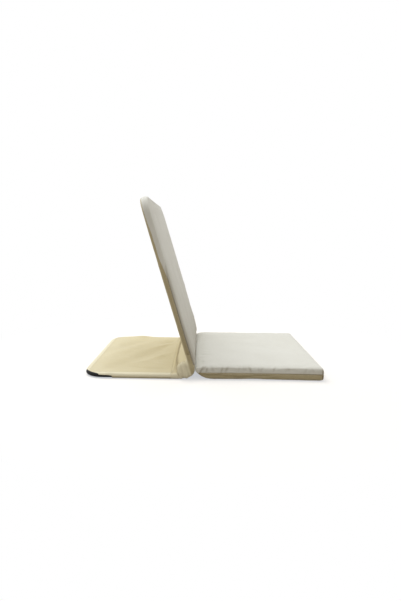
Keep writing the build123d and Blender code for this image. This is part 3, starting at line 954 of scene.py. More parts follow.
    def wrinkle(self, piece: Object) -> None:
        """Add the pull marks of the boxing, its seams and the swells of the top, and paint shade in the
        folds and a highlight along the top edge.
        """
        points, normals = points_of(piece), normals_of(piece)
        x, s, z = self.chair.seat.local(points)
        inward = self.chair.half_width - np.abs(x)
        upward = np.clip(normals[:, 2], 0, 1)
        on_wall = np.clip(1 - np.abs(normals[:, 2]) * 1.4, 0, 1) * (s > 12)
        at_side = inward < 9
        marks = np.zeros(len(points))
        for side in (-1, 1):
            on_side = np.clip(normals[:, 0] * side * 1.6, 0, 1) * (x * side > 0)
            marks += sum(pucker.lift(s, z) for pucker in self.puckers(side)) * on_side
        lift = upward * (0.9 * wander(points, 95.0, 1.0) + 0.35 * wander(points, 38.0, 2.0))
        lift += 0.3 * wander(points, 16.0, 3.0) * (1 - upward)
        seam = ridge(z, self.thickness / 2, self.seam_half) * on_wall
        corner = ridge(s - self.length, -self.front_seam, 1.3) * on_wall * at_side
        raise_along_normals(piece, lift + marks - self.seam_depth * seam - self.corner_seam * corner)
        self.clear(piece, inward, s, z)

        # Painted shade lies in the pull marks and the seam's groove, on the side walls, in a strip in front
        # of the corner seams where the boxing turns away, along the floor and by the fold; the top's far
        # half is darkened too.
        to_front, from_front = soft(s, 215, 275), self.length - s
        soil = 0.42 * np.clip(-marks, 0, 1.3) + seam * (0.3 + 0.5 * to_front) + 0.06 * on_wall
        past_seam = soft(from_front - self.front_seam, -2.4, -3.9)
        strip = 0.95 * past_seam + 0.16 * soft(from_front, 26, 0)
        soil += strip * at_side * on_wall
        soil += (0.35 * ramp(z, 4, 0) + 0.12 * soft(s, 60, 0)) * on_wall
        soil += 0.1 * soft(x, 40, 220) * upward
        mark(piece, "soil", soil)
        # Painted highlight along the top edge of the sides.
        mark(piece, "wear", 0.55 * ridge(z - self.high(s), -0.6, 1.3) * (inward < 4) * (s > 30))

    def clear(self, piece: Object, inward: Array, s: Array, z: Array) -> None:
        """Lift the underside's edge where it bows, keep it off the floor, and make room for the zipper.

        Args:
            piece: The cushion.
            inward: Its points' distances in from its sides, before they were wrinkled.
            s: Their distances ahead of the fold, likewise.
            z: Their heights, likewise.
        """
        points = points_of(piece)
        bow = 2.4 * ridge(s, 175, 30) * ridge(inward, 0, 15) * ramp(z, 9, 0)
        points[:, 2] = np.maximum(points[:, 2] + bow * MM, 0.2 * MM)
        zip_end = self.chair.half_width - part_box("seat_zipper_tape")[1][0] / MM
        beside_zip = soft(np.abs(z - self.thickness / 2) - self.zip_band, 0, 3)
        off_zip = np.maximum(beside_zip, soft(zip_end - inward, 6, 14))
        front = self.chair.fold_y - self.length - self.zip_room - self.zip_bulge * off_zip
        points[:, 1] = np.maximum(points[:, 1], front * MM)
        set_points(piece, points)

    def build(self) -> Object:
        """Make and dress the cushion."""
        piece = self.block()
        self.inflation.run(piece, self.held)
        self.cut_seam(piece)
        self.wrinkle(piece)
        piece.data.materials.append(self.palette.seat_white)
        # The lower boxing takes the shaded cream, a painted-shade copy of the cream cloth.
        piece.data.materials.append(self.palette.seat_cream_shaded)
        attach(piece, Body.SEAT.value)
        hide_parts("seat_cover_top", "seat_cover_bottom", "seat_foam")
        return piece


@dataclass
class BackRest:
    """Thin padded back: white pad in front, cream sleeve round the tube behind it."""

    chair: Chair
    palette: Palette
    top: float = 511.7
    corner: float = 57.85
    pad_rear: float = 26.75
    pad_thickness: float = 9.0
    pad_start: float = 1.5
    toe_thickness: float = 5.0
    taper: float = 48.0
    crown: float = 2.2
    start_smaller: float = 0.9
    cloth: float = 1.1
    sag: float = 2.6
    wrap_steps: int = 10
    round_steps: int = 14
    pad_steps: tuple[int, int] = (52, 56)
    sleeve_steps: tuple[int, int] = (70, 64)
    seam_low: float = -57.0
    seam_creep: float = 88.0
    pad_pulls: tuple[tuple[float, float, float], ...] = (
        (118.0, 38, -0.9),
        (66.0, 30, 0.9),
        (36.0, 24, -1.2),
        (205.0, 52, 0.7),
    )
    sleeve_pulls: tuple[Pair, ...] = ((96.0, 35), (150.0, 50), (330.0, 62), (452.0, 40))
    bridge: tuple[Pair, ...] = (
        (9.0, 34.9),
        (6.0, 35.4),
        (3.4, 34.9),
        (1.5, 33.4),
        (0.3, 31.2),
        (-0.3, 28.6),
        (-0.45, 26.0),
        (-0.3, 23.5),
    )
    inflation: Inflation = field(default_factory=lambda: Inflation(4.5, spare=0.004, reach=2.0))

    def pad_front(self, plan: Array) -> Array:
        """Distance of the pad's front from the hinge axis, at places as (across, along)."""
        x, a = plan[..., 0], plan[..., 1]
        rise = np.clip((a - self.pad_start) / self.taper, 0, 1)
        full = self.toe_thickness + (self.pad_thickness - self.toe_thickness) * np.sin(rise * math.pi / 2)
        lengthwise = np.sin(math.pi * (a - 20) / (self.top - self.taper))
        swell = np.clip(1 - (x / self.chair.half_width) ** 4, 0, 1) * np.clip(lengthwise, 0, 1)
        return self.pad_rear + full + self.crown * swell

    def pad(self) -> Object:
        """The pad in front: swollen lying flat, in the back's directions, and then stood up."""
        half, less = self.chair.half_width, self.start_smaller
        outline = Outline(half - less, self.pad_start + less, self.top - less, self.corner, 4.0)
        walls = [(2.6, 0.0), (0.6, 0.08), (0.0, 0.26), (0.3, 0.5), (1.6, 0.74), (4.0, 0.92), (8.0, 1.0)]
        grids = [outline.grid(inset, *self.pad_steps) for inset, _ in walls]
        strip = []
        for grid, (_, share) in zip(grids, walls):
            rim = outline.rim(grid)
            strip.append(FLAT.lay(rim, self.pad_rear + share * (self.pad_front(rim) - self.pad_rear)))
        writer = MeshWriter()
        writer.grid(np.array(strip), wrap=True)
        writer.grid(FLAT.lay(grids[0], self.pad_rear))
        writer.grid(FLAT.lay(grids[-1], self.pad_front(grids[-1])))
        piece = writer.build("back_pad")
        self.inflation.run(piece, self.held)
        self.wrinkle_pad(piece)
        piece.data.materials.append(self.palette.back_white)
        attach(piece, Body.BACK.value)
        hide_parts("back_cover_front", "back_foam")
        return piece

    def held(self, points: Array) -> Array:
        """How firmly each point of the flat pad is held: at its rear, its lower end and its rim."""
        x, along, ahead = FLAT.local(points)
        low = (ahead < self.pad_rear + 2.4) | (along < 7)
        rim = (np.abs(x) > self.chair.half_width - 7) | (along > self.top - 7)
        return np.where(low, 1.0, np.where(rim, 0.9, 0.0))

    def wrinkle_pad(self, piece: Object) -> None:
        """Add the flat pad's soft swells, keep its rear clear of the sleeve, and stand it up."""
        points, normals = points_of(piece), normals_of(piece)
        x, along, _ = FLAT.local(points)
        forward = np.clip(normals[:, 2], 0, 1)
        lift = forward * (0.9 * wander(points, 120.0, 4.0) + 0.35 * wander(points, 45.0, 5.0))
        side_on = np.clip(1 - np.abs(normals[:, 2]), 0, 1)
        lift += side_on * 0.5 * wander(points, 24.0, 14.0)
        for side in (-1, 1):
            for place, lean, height in self.pad_pulls:
                pull = Pucker((side * 232.0, place), 90 - side * lean, 30.0, 6.5, height)
                lift += pull.lift(x, along) * forward
        across, up, ahead = FLAT.local(points + normals * (lift * MM)[:, None])
        across, up = self.kept_in(across, up)
        set_points(piece, self.chair.back.place(across, up, np.maximum(ahead, self.pad_rear + 0.05)))
        # Painted shade: darker towards the bottom, where the seat shades the pad, and on its side faces,
        # over a small even darkening with uneven tone.
        pad_shade = 0.08 + 0.3 * soft(up, 430, 0) + 0.2 * soft(up, 210, 0) + 0.12 * side_on
        mark(piece, "soil", pad_shade + 0.08 * wander(points, 60.0, 15.0))

    def kept_in(self, across: Array, along: Array) -> tuple[Array, Array]:
        """Places drawn back to the pad's outline where they passed it."""
        room = self.corner - self.start_smaller
        core_x = self.chair.half_width - self.corner
        core_a = self.top - self.corner
        over_x, over_a = np.abs(across) - core_x, along - core_a
        reach = np.hypot(np.maximum(over_x, 0), np.maximum(over_a, 0))
        share = np.where(reach > room, room / np.maximum(reach, 1e-6), 1.0)
        drawn_x = np.sign(across) * (core_x + over_x * share)
        return np.where(over_x > 0, drawn_x, across), np.where(over_a > 0, core_a + over_a * share, along)

    def seam_turn(self, along: Array) -> Array:
        """Angle round the tube of the seam between the pad's cloth and the sleeve's.

        Args:
            along: Distances from the hinge axis along the back.

        Returns:
            Degrees behind the tube's middle; the seam creeps rearwards towards the top.
        """
        return self.seam_low + self.seam_creep * soft(along, 285, 480)

    def wrap_share(self, along: Array) -> Array:
        """From 0 to 1, how far the white cloth reaches over the tube's side, at distances along the back."""
        return soft(along, 268, 338)

    def strip(self, outer: Array, inner: Array) -> Array:
        """Rows of the cloth round the tube, from the pad over its side to its rear.

        Args:
            outer: The rim outside the tube, as (across, along).
            inner: The same points on the tube's centreline.

        Returns:
            Rows by points by 3.
        """
        frame, r, offset = self.chair.back, self.chair.sleeve_r, self.chair.tube_offset
        outward = (outer - inner) / r
        wrap = self.wrap_share(outer[:, 1])
        low = np.radians(self.seam_low * (1 - wrap))
        first_inset, first_ahead = r - r * np.cos(low), offset - r * np.sin(low)
        rows = []
        for inset, ahead in self.bridge:
            spot = outer - outward * (first_inset + (inset - first_inset) * wrap)[:, None]
            rows.append(frame.lay(spot, first_ahead + (ahead - first_ahead) * wrap))
        start = np.maximum(np.degrees(low), self.seam_low)
        seam = np.maximum(self.seam_turn(outer[:, 1]), start)
        turns = [start + (seam - start) * share for share in np.linspace(0, 1, self.wrap_steps + 1)]
        turns += [seam + (90 - seam) * share for share in np.linspace(0, 1, self.round_steps)[1:]]
        for turn in (np.radians(t) for t in turns):
            rows.append(frame.lay(inner + outward * (r * np.cos(turn))[:, None], offset - r * np.sin(turn)))
        return np.array(rows)

    def sleeve(self) -> Object:
        """Cloth round the tube: rear panel, side bands and top band."""
        chair, frame, r = self.chair, self.chair.back, self.chair.sleeve_r
        outline = Outline(chair.half_width, chair.gusset_reach, self.top, self.corner)
        grid = outline.grid(r, *self.sleeve_steps)
        strip = self.strip(outline.rim(outline.grid(0.0, *self.sleeve_steps)), outline.rim(grid))
        writer = MeshWriter()
        writer.grid(strip, lining=len(self.bridge) + self.wrap_steps)
        x, along = grid[..., 0], grid[..., 1]
        edge = np.minimum(chair.half_width - r - np.abs(x), self.top - r - along)
        hollow = self.sag * ramp(edge, 0, 70) ** 1.2
        hollow *= 0.35 + 0.65 * ramp(along - chair.gusset_reach, 0, 120)
        writer.grid(frame.lay(grid, chair.tube_offset - r + hollow))
        piece = writer.build("back_sleeve", facing=Vector((0, 1, 0)))
        # The sleeve takes the shaded cream, a painted-shade copy of the cream cloth.
        piece.data.materials.append(self.palette.back_cream_shaded)
        piece.data.materials.append(self.palette.back_white)
        points = points_of(piece)
        x, along, ahead = frame.local(points)
        lift = 0.7 * wander(points, 80.0, 6.0) + 0.3 * wander(points, 30.0, 7.0)
        for side in (-1, 1):
            for place, lean in self.sleeve_pulls:
                lift += Pucker((side * 214.0, place), 90 + side * lean, 42.0, 6.0, 0.9).lift(x, along)
        raise_along_normals(piece, ramp(along - chair.gusset_reach, 0, 40) * lift)
        # Painted shade on the side bands, deeper towards the bottom, where the white cloth doesn't wrap over
        # the tube.
        band = soft(np.abs(x), 253, 258) * soft(ahead, 13, 19)
        mark(piece, "soil", band * (0.22 + 0.3 * soft(along, 230, 0)) * (1 - self.wrap_share(along)))
        thicken(piece, self.cloth)
        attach(piece, Body.BACK.value)
        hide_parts("back_cover_rear", "back_side_band")
        return piece

    def build(self) -> list[Object]:
        """Make and dress the back's cloth."""
        return [self.pad(), self.sleeve()]


@dataclass
class FootCover:
    """Cream cloth over the rear foot's tube, cut away under both rear corners."""

    chair: Chair
    palette: Palette
    rear: float = 301.65
    corner: float = 57.85
    sheet_corner: float = 68.0
    corner_cut: float = 88.0
    cloth: float = 1.0
    overlap: float = 0.5
    sag: float = 2.2
    channel: float = 15.5
    round_steps: int = 11
    steps: tuple[int, int] = (34, 60)
    lower_steps: tuple[int, int] = (60, 90)
    hem_steps: int = 60

    def edge_turn(self, along_rim: Array, rim: Array) -> Array:
        """Angle on the tube at which the upper sheet ends, at each point of the rim.

        Args:
            along_rim: Distance along the rim from its start.
            rim: The rim's points, as (across, along).

        Returns:
            Degrees above the tube's middle.
        """
        bare = self.bareness(rim)
        wave = np.array([noise.noise(Vector((d / 62.0, 4.2, 0.0))) for d in along_rim])
        wave += 0.4 * np.array([noise.noise(Vector((d / 17.0, 1.3, 0.0))) for d in along_rim])
        return -10.0 + 29.0 * bare + 16.0 * wave * (1 - 0.5 * bare)

    def bareness(self, rim: Array) -> Array:
        """From 0 to 1, how bare the tube is at points of the rim."""
        x, a = np.abs(rim[..., 0]), rim[..., 1]
        past_side = ramp(a - (self.rear - self.corner_cut), -14, 14)
        past_rear = ramp(x - (self.chair.half_width - self.corner_cut), -14, 14)
        return past_side * past_rear

    def upper(self) -> Object:
        """Upper sheet, drawn over the tube all round."""
        chair, frame = self.chair, self.chair.foot
        half, rear = chair.half_width + self.overlap, self.rear + self.overlap
        outline = Outline(half, chair.gusset_reach, rear, self.sheet_corner)
        r, middle = chair.sleeve_r + self.overlap, -chair.tube_offset
        rim, grid = outline.rim(outline.grid(0.0, *self.steps)), outline.grid(r, *self.steps)
        run = np.concatenate([[0], np.cumsum(np.linalg.norm(np.diff(rim, axis=0), axis=1))])
        ends = self.edge_turn(run, rim)
        inner = outline.rim(grid)
        outward = (rim - inner) / r
        strip = []
        for share in np.linspace(0, 1, self.round_steps):
            turn = np.radians(ends + share * (90 - ends))
            spot = inner + outward * (r * np.cos(turn))[:, None]
            strip.append(frame.lay(spot, middle + chair.sleeve_r * np.sin(turn)))
        writer = MeshWriter()
        writer.grid(np.array(strip))
        writer.grid(frame.lay(grid, middle + chair.sleeve_r - self.hollow(grid)))
        piece = writer.build("foot_upper_sheet", facing=Vector((0, 0, 1)))
        subdivide(piece)
        flat = points_of(piece)
        lift = self.ripples(flat)
        raise_along_normals(piece, lift)
        x, a, _ = frame.local(flat)
        inward = np.minimum(chair.half_width - np.abs(x), self.rear - a)
        # Painted highlight on the roll of the cloth over the tube; the sheet also pales towards the rear.
        roll = soft(inward - self.channel, 0, -2.2)
        mark(piece, "wear", 0.9 * roll + 0.22 * soft(a, 190, 280) * (1 - roll))
        # Painted shade in the fold valleys; the middle and the stitched channel are also made darker.
        middle_darkening = 0.08 * soft(inward, 30, 70)
        stitched = ridge(inward, self.channel, 1.4)
        mark(piece, "soil", middle_darkening + 0.07 * ramp(lift, 0, -3) + 0.12 * stitched)
        thicken(piece, self.cloth)
        self.dress(piece, "foot_cover_top")
        return piece

    def hollow(self, grid: Array) -> Array:
        """How far the upper sheet hangs below the tube's top, at places as (across, along)."""
        x, a = grid[..., 0], grid[..., 1]
        side = self.chair.half_width - self.chair.sleeve_r - np.abs(x)
        return self.sag * ramp(np.minimum(side, self.rear - self.chair.sleeve_r - a), 0, 60) ** 1.3

    def ripples(self, points: Array) -> Array:
        """Soft folds that run from the far hinge to the near rear corner, and smaller swells."""
        x, a, _ = self.chair.foot.local(points)
        fade = ramp(a - self.chair.gusset_reach, 0, 45)
        folds = [
            Pucker((10.0, 128.0), 152.0, 160.0, 27.0, -8.5),
            Pucker((75.0, 186.0), 150.0, 150.0, 26.0, 4.5),
            Pucker((-35.0, 78.0), 146.0, 110.0, 15.0, 5.0),
            Pucker((140.0, 74.0), 138.0, 70.0, 9.0, 4.6),
            Pucker((182.0, 62.0), 128.0, 55.0, 7.0, -4.0),
            Pucker((205.0, 74.0), 122.0, 40.0, 6.0, 2.4),
            Pucker((120.0, 225.0), 150.0, 110.0, 22.0, -3.0),
            Pucker((-150.0, 66.0), 70.0, 60.0, 9.0, 3.0),
            Pucker((-190.0, 92.0), 84.0, 70.0, 9.0, -2.4),
            Pucker((-120.0, 120.0), 100.0, 80.0, 16.0, 1.8),
        ]
        lift = sum(fold.lift(x, a) for fold in folds)
        lift = lift + 0.9 * wander(points, 70.0, 8.0) + 0.4 * wander(points, 26.0, 9.0)
        edge = np.clip((self.chair.half_width - 6 - np.abs(x)) / 25, 0.12, 1)
        edge *= np.clip((self.rear - 6 - a) / 25, 0.12, 1)
        rise = Pucker((243.0, 186.0), 90.0, 34.0, 15.0, 6.0).lift(x, a)
        rise += Pucker((-255.0, 222.0), 90.0, 13.0, 6.0, 1.4).lift(x, a)
        return lift * fade * edge + rise

    def lower(self) -> Object:
        """Lower sheet on the floor, its rear corners cut away in a curve."""
        chair, frame = self.chair, self.chair.foot
        rows, columns = self.lower_steps
        half, low, cut = chair.tube_x, chair.gusset_reach, self.corner_cut
        a = np.linspace(low, self.rear - chair.sleeve_r, rows)
        depth = np.clip((a - (self.rear - cut)) / cut, 0, 1)
        reach = half - (cut + 6) * np.sqrt(np.clip(1 - (1 - depth) ** 2.2, 0, 1)) * (depth > 0)
        writer = MeshWriter()
        writer.grid(frame.place(np.outer(reach, np.linspace(-1, 1, columns)), a[:, None], -chair.elbow_r))
        piece = writer.build("foot_lower_sheet", facing=Vector((0, 0, -1)))
        points = points_of(piece)
        fade = ramp(frame.local(points)[1] - low, 0, 40)
        points[:, 2] += fade * np.abs(0.8 * wander(points, 60.0, 10.0)) * MM
        set_points(piece, points)
        thicken(piece, self.cloth)
        self.dress(piece, "foot_cover_bottom")
        return piece

    def hem(self, name: str, start: Pair, end: Pair, out: Pair) -> Object:
        """Cloth round the outer lower quarter of one straight run of tube.

        Args:
            name: The name of the piece, and of the node that it stands for.
            start: One end on the tube's centreline, as (across, along).
            end: The other end.
            out: Unit direction away from the foot's middle.

        Returns:
            The piece.
        """
        chair, frame, r = self.chair, self.chair.foot, self.chair.sleeve_r
        share = np.linspace(0, 1, self.hem_steps)
        x = start[0] + (end[0] - start[0]) * share
        a = start[1] + (end[1] - start[1]) * share
        rows = []
        for turn in np.radians(np.linspace(-90, 6, 9)):
            wave = np.array([noise.noise(Vector((s * 5.0, len(name) * 1.7, turn))) for s in share]) * 0.5
            reach, level = (r + wave) * math.cos(turn), r * math.sin(turn) - chair.tube_offset
            rows.append(frame.place(x + out[0] * reach, a + out[1] * reach, level))
        writer = MeshWriter()
        writer.grid(np.array(rows))
        piece = writer.build(name + "_cloth", facing=Vector((out[0], out[1], -0.5)))
        # Painted shade on the hem's underside, darker towards the floor.
        mark(piece, "soil", np.clip(0.66 - points_of(piece)[:, 2] / MM / 15, 0, 1))
        thicken(piece, self.cloth)
        self.dress(piece, name)
        return piece

    def dress(self, piece: Object, node: str) -> None:
        """Give a sheet of the foot its cloth and its body, and hide the node that it stands for."""
        piece.data.materials.append(self.palette.foot_cream)
        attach(piece, Body.FOOT.value)
        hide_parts(node)

    def build(self) -> list[Object]:
        """Make and dress the foot's cloth."""
        chair = self.chair
        side, low = chair.tube_x, chair.gusset_reach
        side_end = self.rear - self.corner_cut
        rear_line, rear_half = self.rear - chair.sleeve_r, chair.half_width - self.corner_cut
        return [
            self.upper(),
            self.lower(),
            self.hem("foot_hem_left", (side, low), (side, side_end), (1, 0)),
            self.hem("foot_hem_right", (-side, low), (-side, side_end), (-1, 0)),
            self.hem("foot_hem_rear", (-rear_half, rear_line), (rear_half, rear_line), (0, 1)),
        ]


@dataclass
class FoldCloth:
    """Cloth at the fold: round its outside, with a cheek over each hinge, and across its inside."""

    chair: Chair
    palette: Palette
    cloth: float = 1.0
    crease_middle: float = 34.0
    crease_centre: float = -27.0
    crease_bow: Pair = (25.0, 5.0)
    crease_reach: Pair = (213.0, 267.0)
    crease_dip: float = 5.0
    middle_bulge: float = -2.0
    hinge_cover: float = 24.0
    hinge_bulge: float = 11.0
    cheek_proud: float = 6.5
    foot_sag: float = 2.2
    back_sag: float = 0.9
    case_cover: float = 24.6
    underside_lift: float = 3.2
    pad_rear: float = 26.6
    gather_ridge: float = -2.0
    gather_pitch: float = 16.0
    cheek_cloth: float = 34.0
    blend_half: float = 22.0
    dense_from: float = 215.0
    steps: int = 44
    cheek_steps: int = 19
    across_steps: int = 60
    gusset_steps: tuple[int, int] = (22, 70)

    def outer_path(self) -> Array:
        """Side view of the outside of the fold, from the foot's underside to the back's front."""
        chair = self.chair
        foot, arc = chair.gusset_reach, chair.elbow_r * math.radians(chair.fold_turn)
        total = foot + arc + chair.gusset_reach
        points = []
        for t in np.linspace(0, 1, self.steps) * total:
            if t < foot:
                rise = self.underside_lift * max(0.0, 1 - (foot - t) / 24) ** 1.6
                points.append((foot - t, rise - chair.elbow_r))
            elif t < foot + arc:
                turned = (t - foot) / arc
                lift = self.underside_lift * math.cos(math.pi / 2 * min(turned / 0.8, 1)) ** 1.2
                radius, angle = chair.elbow_r - lift, math.radians(270 - chair.fold_turn * turned)
                points.append((radius * math.cos(angle), radius * math.sin(angle)))
            else:
                points.append(self.on_back(t - foot - arc, chair.elbow_r))
        return np.array(points)

    def on_back(self, along: float, ahead: float) -> Pair:
        """A point of the back's frame as (y, z) from the hinge axis."""
        frame = self.chair.back
        y = along * frame.along[0] + ahead * frame.ahead[0]
        return y, along * frame.along[1] + ahead * frame.ahead[1]

    def inner_path(self, x: float) -> Array:
        """Side view of the inside of the fold at a place across the width."""
        chair = self.chair
        side = int(x >= self.crease_centre)
        bow = min(abs(x - self.crease_centre) / self.crease_reach[side], 1.0)
        crease = self.crease_middle - self.crease_bow[side] * bow**1.9
        cover = float(soft(abs(x), 222, 245))
        crease += (self.hinge_cover - crease) * cover
        bulge = self.middle_bulge * (1 - cover) + self.hinge_bulge * cover
        level = chair.tube_offset - chair.sleeve_r
        slack = float(ramp(chair.half_width - chair.sleeve_r - abs(x), 0, 60)) ** 1.3
        low_level, high_level = -level - self.foot_sag * slack, level + self.back_sag * slack
        reach, dip = chair.gusset_reach, self.crease_dip * (1 - cover) * min(slack * 6, 1.0)
        start, low = np.array([reach, low_level]), np.array([crease, low_level - dip])
        high, end = np.array(self.on_back(crease, high_level)), np.array(self.on_back(reach, high_level))
        chord = high - low
        out = np.array([chord[1], -chord[0]]) / np.linalg.norm(chord)
        lengths = [reach - crease, float(np.linalg.norm(chord)), reach - crease]
        total = sum(lengths)
        points = []
        for t in np.linspace(0, 1, self.steps) * total:
            if t < lengths[0]:
                share = t / lengths[0]
                points.append(start + (low - start) * np.array([share, share**2.2]))
            elif t < lengths[0] + lengths[1]:
                share = (t - lengths[0]) / lengths[1]
                points.append(low + chord * share + out * bulge * math.sin(math.pi * share))
            else:
                points.append(high + (end - high) * (t - lengths[0] - lengths[1]) / max(lengths[2], 1e-6))
        path = np.array(points)
        for _ in range(1 + int(11 * cover)):
            path[1:-1] = (path[:-2] + 2 * path[1:-1] + path[2:]) / 4
        radius = np.linalg.norm(path, axis=1)
        return path * (np.maximum(radius, self.case_cover * cover) / radius)[:, None]

    def blend(self, piece: Object) -> None:
        """Bake the piece's placement into its mesh; the piece rides on no body."""
        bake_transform(piece)

    def elbow(self) -> Object:
        """Outside of the fold, with a cheek over each hinge."""
        chair, frame = self.chair, self.chair.foot
        outer, inner = self.outer_path(), self.inner_path(chair.tube_x)
        middle, half = (outer + inner) / 2, (outer - inner) / 2
        size = np.linalg.norm(half, axis=1)
        square = soft(size - chair.sleeve_r, 0, 15)
        power = 1 - 0.15 * square
        proud = chair.sleeve_r + self.cheek_proud * square
        columns = []
        for turn in np.radians(np.linspace(180, 0, self.cheek_steps)):
            sine, cosine = math.sin(turn), math.cos(turn)
            x = chair.tube_x + proud * max(sine, 0.0) ** power
            spot = middle + half * (np.sign(cosine) * abs(cosine) ** power)[:, None]
            columns.append((x, spot))
        across = np.linspace(chair.tube_x, -chair.tube_x, self.across_steps)[1:-1]
        columns += [(np.full(self.steps, x), outer) for x in across]
        columns += [(-x, spot) for x, spot in reversed(columns[: self.cheek_steps])]
        grid = np.stack([frame.place(x, spot[:, 0], spot[:, 1]) for x, spot in columns], axis=1)
        writer = MeshWriter()
        writer.grid(grid)
        piece = writer.build("elbow_cloth", facing=Vector((0, -1, -1)))
        self.tuck_behind_pad(piece)
        self.crumple(piece)
        self.shade_elbow(piece)
        thicken(piece, self.cloth)
        piece.data.materials.append(self.palette.foot_cream)
        self.blend(piece)
        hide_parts("elbow_cover")
        return piece

    def tuck_behind_pad(self, piece: Object) -> None:
        """Keep the part that runs up the back behind the pad."""
        frame = self.chair.back
        x, along, ahead = frame.local(points_of(piece))
        limit = self.pad_rear + 1.25 * ramp(along, 2, 0)
        ahead = np.where(along > -2, np.minimum(ahead, limit), ahead)
        set_points(piece, frame.place(x, along, ahead))

    def gathers(self, points: Array) -> Array:
        """Gathers of the cloth by the hinges, along the back: 1 on a ridge, -1 in a valley."""
        x, _, ahead = self.chair.back.local(points)
        phase = 2 * math.pi * (ahead - self.gather_ridge) / self.gather_pitch
        waves = np.cos(phase + 0.7 * wander(points, 22.0, 21.0))
        return waves * soft(np.abs(x), 208, 232) * soft(ahead, 12, 7)

    def crumple(self, piece: Object) -> None:
        """Add gathers over the hinges and small swells, fading at the joined edges and on the floor."""
        points = points_of(piece)
        x, p, q = self.chair.foot.local(points)
        on_cheek, fade = ramp(np.abs(x), 247, 256), ramp(np.hypot(p, q), 40, 28)
        lift = 1.3 * self.gathers(points) * on_cheek * fade + 0.5 * wander(points, 17.0, 12.0) * fade
        raise_along_normals(piece, np.maximum(lift, -0.5) * (points[:, 2] >= 1 * MM))

    def shade_elbow(self, piece: Object) -> None:
        """Paint shade and light on the cheeks.

        Painted shade is darkest in front, where the back's shaded band runs out, then near the floor, in the
        crease by the gusset and in the gathers' valleys; painted light brightens the cheeks where they face
        sideways.
        """
        points = points_of(piece)
        x, along, ahead = self.chair.back.local(points)
        _, p, q = self.chair.foot.local(points)
        radius, turn = np.hypot(p, q), np.degrees(np.arctan2(q, p))
        at_side = soft(np.abs(x), 250, 255)
        band = soft(ahead, 11, 17) * soft(along, -26, -12)
        under = soft(points[:, 2] / MM, 6, 0)
        crease = ridge(radius, 24.2, 2.2) * soft(turn, 40, 15) * soft(turn, -55, -35)
        crease *= soft(np.abs(x), 244, 250)
        valleys = 0.2 * ramp(self.gathers(points), 0, -1) * soft(radius, 34, 24)
        # Painted shade in front, near the floor, in the crease and in the gathers' valleys.
        soil = np.maximum(at_side * np.maximum(0.66 * band, 0.3 * under), 0.62 * crease)
        mark(piece, "soil", np.maximum(soil, valleys))
        # Painted light on the cheeks where they face sideways.
        upward = np.clip(normals_of(piece)[:, 2], 0, 1)
        mark(piece, "wear", at_side * (1 - band) * (0.85 - 0.4 * upward))

    def gusset(self) -> Object:
        """Sheet across the inside of the fold, creased at the foot in a bow."""
        chair, frame = self.chair, self.chair.foot
        edge, (few, many) = self.dense_from, self.gusset_steps
        middle, side = np.linspace(-edge, edge, many)[1:-1], np.linspace(edge, chair.tube_x, few)
        places = np.concatenate([-side[::-1], middle, side])
        writer = MeshWriter()
        writer.grid(np.stack([frame.place(x, *self.inner_path(x).T) for x in places], axis=1))
        piece = writer.build("gusset_cloth", facing=Vector((0, 1, 1)))
        points = points_of(piece)
        x, p, q = frame.local(points)
        fade = ramp(np.hypot(p, q), 41, 31) * ramp(chair.tube_x - np.abs(x), 0, 8)
        pulls = 0.9 * np.sin(np.abs(x) / 5.5 + q / 9.0) * ramp(np.abs(x), 190, 230)
        raise_along_normals(piece, fade * (pulls + 0.8 * wander(points, 45.0, 13.0)))
        # Painted shade in the crease at the bottom, beside the hinges and in the gathers' valleys.
        bottom = ridge(points[:, 2] / MM, 9.5, 3.6) * (p < 37) * soft(np.abs(x), 246, 236)
        beside = soft(np.abs(x), 200, 230) * soft(q, 33.8, 7.8)
        valleys = ramp(self.gathers(points), 0, -1) * soft(q, 52, 26)
        mark(piece, "soil", 0.8 * bottom + 0.12 * beside + 0.2 * valleys)
        thicken(piece, self.cloth)
        piece.data.materials.append(self.palette.foot_cream)
        self.blend(piece)
        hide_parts("corner_gusset")
        return piece

    def build(self) -> list[Object]:
        """Make and dress the cloth at the fold."""
        return [self.elbow(), self.gusset()]


@dataclass
class Crevice:
    """Cloth strip that joins the seat's rear edge to the back, down in the crevice."""

    chair: Chair
    palette: Palette
    half_width: float = 250.0
    cloth: float = 0.9
    steps: int = 80
    path: tuple[Pair, ...] = (
        (1.0, 36.5),
        (0.3, 33.5),
        (0.4, 30.8),
        (1.6, 29.6),
        (4.0, 31.0),
        (7.0, 33.0),
        (10.0, 35.0),
    )

    def build(self) -> Object:
        """Make and dress the strip: down the back's toe and up the seat's slope."""
        fold, x = self.chair.fold_y, np.linspace(-self.half_width, self.half_width, self.steps)
        writer = MeshWriter()
        writer.grid(np.array([self.chair.seat.place(x, s, z) for s, z in self.path]))
        piece = writer.build("crevice_strip", facing=Vector((0, -1, 1)))
        subdivide(piece)
        thicken(piece, self.cloth, offset=0.0)
        piece.data.materials.append(self.palette.seat_white)
        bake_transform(piece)
        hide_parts("seat_hinge_strip")
        return piece


# Stitches, zipper and steel --------------------------------------------------------------------


